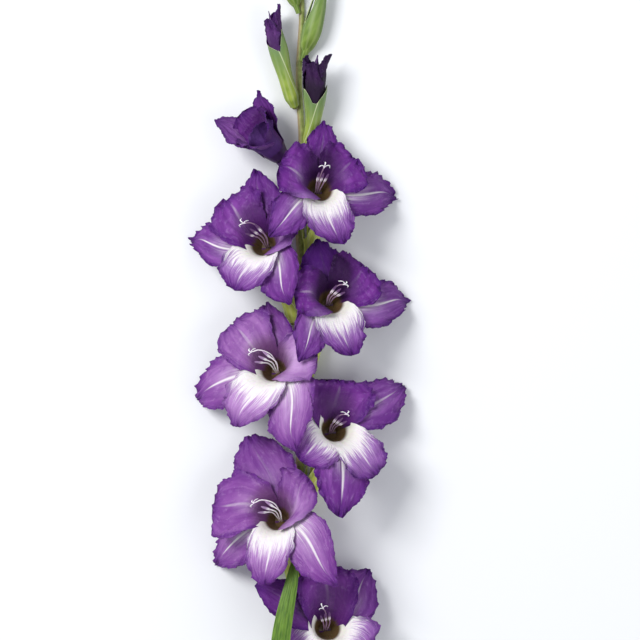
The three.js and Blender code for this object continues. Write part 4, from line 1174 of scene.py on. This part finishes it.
# coloured buds, three tepals rolled round each other; leave and arrive: how a bud's curve leaves the stalk
# and comes to its tip
roll = {
    "start": 0.3, "halfWrap": 1.35, "twist": 1.1, "lap": 1.3, "rows": 44, "columns": 28, "thickness": 0.6,
    "ends": (1.0, 0.93, 0.88),  # how far along the bud each tepal reaches
    "point": 0.62, "pointed": 0.1, "ragged": 0.16, "twirl": 0.9,  # how their ends narrow and turn
    "curl": 2.6, "crease": 0.35, "crumple": 2.4,
    "room": 2.6,  # for the roll inside its bracts
    "leave": (0.35, 0.95, 0.4), "leaveShare": 0.4, "arrive": (0.25, 0.95, 0.1), "arriveShare": 0.3,
    "footRoom": 0.4,
}
budMarks = {"blotch": -1.0, "stripe": 0.0, "paleness": 0.25, "throatEnd": 0.2, "throatFray": 0.2}
# shade darkens a bud's colours all over, and the number after it sets how much painted shade lies on the
# lower half of its tepals
colouredBuds = [
    {"name": "bud_left", "side": -1, "node": 182, "tip": (-28, 268, 22), "radius": 6.8,
     "shade": 0.6, "flush": 1.05, "tipSpread": 1.0,
     "bracts": {"root": 0.5, "outerEnd": 0.62, "innerEnd": 0.74, "out": 0.1, "flare": -2.2}},
    {"name": "bud_right", "side": 1, "node": 145, "tip": (16, 230, 26), "radius": 9.5,
     "shade": 0.27, "flush": 1.7, "tipSpread": 0.7,
     "bracts": {"root": 0.38, "outerEnd": 0.64, "innerEnd": 0.6, "out": -0.15, "flare": -1.4}},
]


def budPath(bud):
    mirror = vec(bud["side"], 1, 1)
    start = nodePoint(bud["side"], bud["node"], tube["ovaryRadius"] * roll["footRoom"])
    tip = vec(*bud["tip"])
    reach = np.linalg.norm(tip - start)
    return bezierPath(start, start + unit(mirror * roll["leave"]) * reach * roll["leaveShare"],
                      tip - unit(mirror * roll["arrive"]) * reach * roll["arriveShare"], tip)


def rollRadius(bud, s):
    s = np.asarray(s, dtype=float)
    swollen = mixed(tube["ovaryRadius"], bud["radius"] - 1.6, smooth(s, 0.15, 0.85))
    return swollen * np.maximum(0, 1 - s ** 5) ** 0.5 + 0.9


def rollParts(bud, path, seed):
    place, heading, _ = path
    stations = np.linspace(0, 0.95, 30)
    core = rollRadius(bud, stations) - mixed(0.9, 2.6, smooth(stations, 0.3, 0.5)) * (1 - stations ** 2 * 0.8)
    core *= mixed(1, 0.12, smooth(stations, 0.7, 0.95))
    core[0] *= 0.6
    parts = [loftPart(ringsAlong(path, stations, core, 24), lambda s, t: {"along": s * 1.1}, slot=1)]
    for i, tipEnd in enumerate(roll["ends"]):
        def surface(s, t, i=i, tipEnd=tipEnd):
            at = mixed(roll["start"], tipEnd * (1 - roll["pointed"] * np.abs(t) ** 1.3), s)
            narrowed = mixed(1, roll["point"], np.clip((s - 0.5) / 0.5, 0, 1) ** 1.8)
            ragged = 1 + roll["ragged"] * wander(s * 22 + 3 * np.sign(t), seed + i) * smooth(s, 0.4, 0.7)
            twirl = roll["twirl"] * (0.5 - draw(seed + 2 * i)) * 2 * smooth(s, 0.65, 1)
            angle = 2 * np.pi * i / len(roll["ends"]) + draw(seed) + roll["twist"] * s
            angle = angle + roll["halfWrap"] * t * narrowed * ragged + twirl
            around = mixed(rollRadius(bud, at), bud["radius"] * bud["tipSpread"], smooth(at, 0.7, 0.96))
            radius = around - mixed(1.5, 0.2, smooth(s, 0, 0.3)) + roll["lap"] * (t + 1) * smooth(s, 0, 0.7)
            curled = roll["curl"] * smooth(s, 0.72, 1.05) ** 2 * (1 - 0.5 * t * t)
            crease = roll["crease"] * wander(angle * 4 + s * 3, seed + i) * smooth(s, 0.2, 0.6)
            crumple = roll["crumple"] * wander(t * 7 + s * 17, seed + i + 0.3) * smooth(s, 0.55, 0.9)
            return roundPath(place, heading, at, radius + curled + crease + crumple, angle, vec(0, 0, 1))

        def marks(s, t, i=i):
            found = {key: np.full_like(s, value) for key, value in budMarks.items()}
            # painted shade over the lower half of each tepal, fading out towards its tip
            found["hood"] = bud["flush"] * smooth(s, 0.92, 0.5)
            found["place"] = np.full_like(s, i * 5.1 + seed)
            return found

        parts.append(sheetPart(surface, roll["rows"], roll["columns"], roll["thickness"], marks))
    return parts


def buildColouredBud(bud, index):
    path = budPath(bud)
    name = bud["name"]
    skin = petalMaterial(f"{name}_tissue", 0, 0.3, 40 + index * 3.1, bud["shade"])
    makePiece(f"{name}_roll", rollParts(bud, path, index), [skin, tubeSkin], [f"{name}_petals"])

    def roomAt(s):
        return rollRadius(bud, s) + roll["room"] * smooth(s, 0.25, 0.6)

    leafy = bractPart(path, roomAt, bud["side"], bud["bracts"], index + 31.0)
    makePiece(f"{name}_spathes", [leafy], [greenSkins["bractSkin"]], [f"{name}_bracts"])


# green buds, each two closed bracts; end and belly: how far its tip and its middle stand aside and up, as
# parts of its length
greenBud = {
    "wrap": 2.7, "outerEnd": 0.9, "innerEnd": 0.75, "out": 0.5, "rows": 30, "columns": 44, "thickness": 0.6,
    "end": (0.24, 0.12), "belly": (0.06, 0.05), "footRoom": 0.8,
}
greenBuds = [
    {"name": "green_bud_1", "side": 1, "node": 223, "length": 84, "radius": 9.5},
    {"name": "green_bud_2", "side": -1, "node": 264, "length": 66, "radius": 8},
    {"name": "green_bud_3", "side": 1, "node": 300, "length": 50, "radius": 6},
    {"name": "green_bud_4", "side": -1, "node": 332, "length": 38, "radius": 4.8},
    {"name": "green_bud_5", "side": 1, "node": 360, "length": 28, "radius": 3.6},
]


def buildGreenBud(bud, index):
    side, long = bud["side"], bud["length"]
    start = nodePoint(side, bud["node"], greenBud["footRoom"])
    end = start + vec(side * long * greenBud["end"][0], long, long * greenBud["end"][1])
    middle = (start + end) / 2 + vec(side * long * greenBud["belly"][0], 0, long * greenBud["belly"][1])
    path = bezierPath(start, mixed(start, middle, 2 / 3), mixed(end, middle, 2 / 3), end)
    place, heading, _ = path

    def radiusAt(s):
        return 0.8 * bud["radius"] * mixed(0.45, 1, smooth(s, 0, 0.35)) * (1 - s * s * 0.985) ** 0.9

    stations = np.linspace(0, 0.93, 18)
    inside = radiusAt(stations) * mixed(0.8, 0.75, smooth(stations, 0, 0.3))
    core = loftPart(ringsAlong(path, stations, inside, 20), lambda s, t: {"place": np.full_like(s, index)})

    def surface(s, t):
        angle = t * greenBud["wrap"]
        at = mixed(0.05, bractReach(angle, greenBud, bract["root"]), s)
        radius = radiusAt(at) * mixed(0.5, 1.12, smooth(s, 0, 0.3)) + 0.5 * smooth(s, 0, 0.3)
        return roundPath(place, heading, at, radius, angle, vec(side * greenBud["out"], 0, 1))

    def marks(s, t):
        return {"across": np.where(s > 0.8, np.maximum(np.abs(t * 0.85), smooth(s, 0.8, 1)), t * 0.85),
                "place": np.full_like(s, index + 0.5)}

    parts = [core, sheetPart(surface, greenBud["rows"], greenBud["columns"], greenBud["thickness"], marks)]
    keepOffSurface(parts)
    makePiece(f"{bud['name']}_closed", parts, [greenSkins["greenBudSkin"]], [bud["name"]])


# leaves; each clasps the stalk over the length `hug` and then goes through the points of its blade
leaf = {
    "thickness": 0.7, "edge": 0.35, "halfWidth": 9.0, "rows": 150, "columns": 28,
    "clasp": 1.6, "channel": 0.03,  # how far it wraps the stalk, and how hollow the blade is
    "ribs": 7, "ribHeight": 0.16, "midribWidth": 0.12, "midrib": 0.5, "wave": 0.5,
    "cadThickness": 0.9,  # of the solid that it covers
}
leaves = [
    {"name": "leaf_front", "from": -468, "hug": 35,
     "blade": [(-5, -395, 27), (-17, -335, 53), (-16, -270, 59), (-6, -216, 54), (-2, -192, 46)]},
    {"name": "leaf_left", "from": -530, "hug": 40,
     "blade": [(-10, -445, 30), (-34, -400, 42), (-66, -345, 30), (-92, -296, 2)]},
    {"name": "leaf_right", "from": -592, "hug": 40,
     "blade": [(10, -505, 30), (34, -440, 44), (64, -370, 34), (88, -300, 2)]},
]


def buildLeaf(one, index):
    chord = math.cos(leaf["clasp"] / 4)

    def clasp(y):
        return (stalkRadius(y) + bract["gap"] + leaf["cadThickness"] / 2) / chord + 0.3

    def above(y):
        return vec(float(stalkX(y)), y, float(stalkHeight(y) + clasp(y)))

    base = [above(one["from"] + one["hug"] * x) for x in (0, 0.5, 1)]
    place, heading, length = curvePath(base + one["blade"])
    hugEnd = one["hug"] * 1.15 / length

    def surface(s, t):
        centre, direction = place(s), heading(s)
        out = squareTo(np.broadcast_to(vec(0, 0, 1), direction.shape), direction)
        across = np.cross(direction, out)
        opened = smooth(s, hugEnd * 0.7, hugEnd * 2.4)
        claspRadius = clasp(centre[:, 1])
        half = mixed(claspRadius * leaf["clasp"], leaf["halfWidth"], opened)
        half = half * mixed(0.06, 1, np.maximum(1 - s ** 6, 0) ** 0.8)
        bend = mixed(1 / claspRadius, leaf["channel"], opened)
        q = t * half
        ribs = leaf["ribHeight"] * np.cos(t * 3.14 * leaf["ribs"]) * opened
        ribs = ribs + leaf["midrib"] * np.exp(-(t / leaf["midribWidth"]) ** 2) * opened * smooth(s, 1, 0.85)
        wave = leaf["wave"] * opened * np.abs(t) ** 2 * wander(s * 14 + 2 * t, index)
        rise = -(1 - np.cos(bend * q)) / bend + ribs + wave
        return centre + across * (np.sin(bend * q) / bend)[:, None] + out * rise[:, None]

    def marks(s, t):
        return {"along": s * 6, "place": np.full_like(s, index * 4.4)}

    def thickness(s, t):
        return mixed(leaf["thickness"], leaf["edge"], t * t)

    part = sheetPart(surface, leaf["rows"], leaf["columns"], thickness, marks)
    keepOffSurface([part])
    makePiece(f"{one['name']}_blade", [part], [greenSkins["leafSkin"]], [one["name"]])


buildStalk([bloom["node"] for bloom in [*blooms, halfOpen, *colouredBuds, *greenBuds]])
print("stalk done")
for index, bloom in enumerate(blooms):
    buildBloom(bloom, openMouth, index)
buildBloom(halfOpen, halfOpenMouth, len(blooms))
print("blooms done")
for index, bud in enumerate(colouredBuds):
    buildColouredBud(bud, index)
for index, bud in enumerate(greenBuds):
    buildGreenBud(bud, index)
print("buds done")
for index, one in enumerate(leaves):
    buildLeaf(one, index)
print("leaves done")

# the studio; places and sizes in metres, powers in watts, the sensor in millimetres
studio = {
    "floorSize": 12.0, "floorDrop": 0.0002, "floorColour": (0.82, 0.83, 0.85),
    "keyPower": 56.0, "keyPlace": (-1.3, 0.9, 1.9), "keySize": 1.1,
    "fillPower": 16.0, "fillPlace": (1.6, -0.7, 1.6), "fillSize": 1.8,
    "sky": (0.9, 0.93, 1.0), "skyStrength": 0.5,
    "viewWidth": 0.544,  # across the picture, at the height of the blooms
    "viewCentre": (0.017, 0.0, 0.035), "viewHeight": 2.5, "sensor": 36.0, "clip": (0.05, 50),
}


def buildFloor():
    half = studio["floorSize"] / 2
    mesh = bpy.data.meshes.new("floor")
    corners = [(-half, -half, 0), (half, -half, 0), (half, half, 0), (-half, half, 0)]
    mesh.from_pydata(corners, [], [(0, 1, 2, 3)])
    floor = bpy.data.objects.new("floor", mesh)
    floor.location.z = -studio["floorDrop"]
    bpy.context.scene.collection.objects.link(floor)
    material, _, shader = newMaterial("floorPaint", 0.7, specular=0.2)
    shader.inputs["Base Color"].default_value = (*studio["floorColour"], 1)
    mesh.materials.append(material)


def buildLight(name, power, place, size):
    lamp = bpy.data.lights.new(name, "AREA")
    lamp.energy = power
    lamp.size = size
    light = bpy.data.objects.new(name, lamp)
    light.location = place
    bpy.context.scene.collection.objects.link(light)
    light.rotation_mode = "QUATERNION"
    light.rotation_quaternion = (-Vector(place)).to_track_quat("-Z", "Y")


def buildWorld():
    world = bpy.data.worlds.new("studioAir")
    world.use_nodes = True
    back = world.node_tree.nodes["Background"]
    back.inputs["Color"].default_value = (*studio["sky"], 1)
    back.inputs["Strength"].default_value = studio["skyStrength"]
    bpy.context.scene.world = world


def buildCamera():
    data = bpy.data.cameras.new("overhead")
    x, y, z = studio["viewCentre"]
    data.sensor_width = studio["sensor"]
    data.lens = studio["sensor"] * (studio["viewHeight"] - z) / studio["viewWidth"]
    data.clip_start, data.clip_end = studio["clip"]
    camera = bpy.data.objects.new("overhead", data)
    camera.location = (x, y, studio["viewHeight"])
    bpy.context.scene.collection.objects.link(camera)
    bpy.context.scene.camera = camera


buildFloor()
buildLight("key", studio["keyPower"], studio["keyPlace"], studio["keySize"])
buildLight("fill", studio["fillPower"], studio["fillPlace"], studio["fillSize"])
buildWorld()
buildCamera()
bpy.context.scene.view_settings.view_transform = "Standard"
print("studio done")
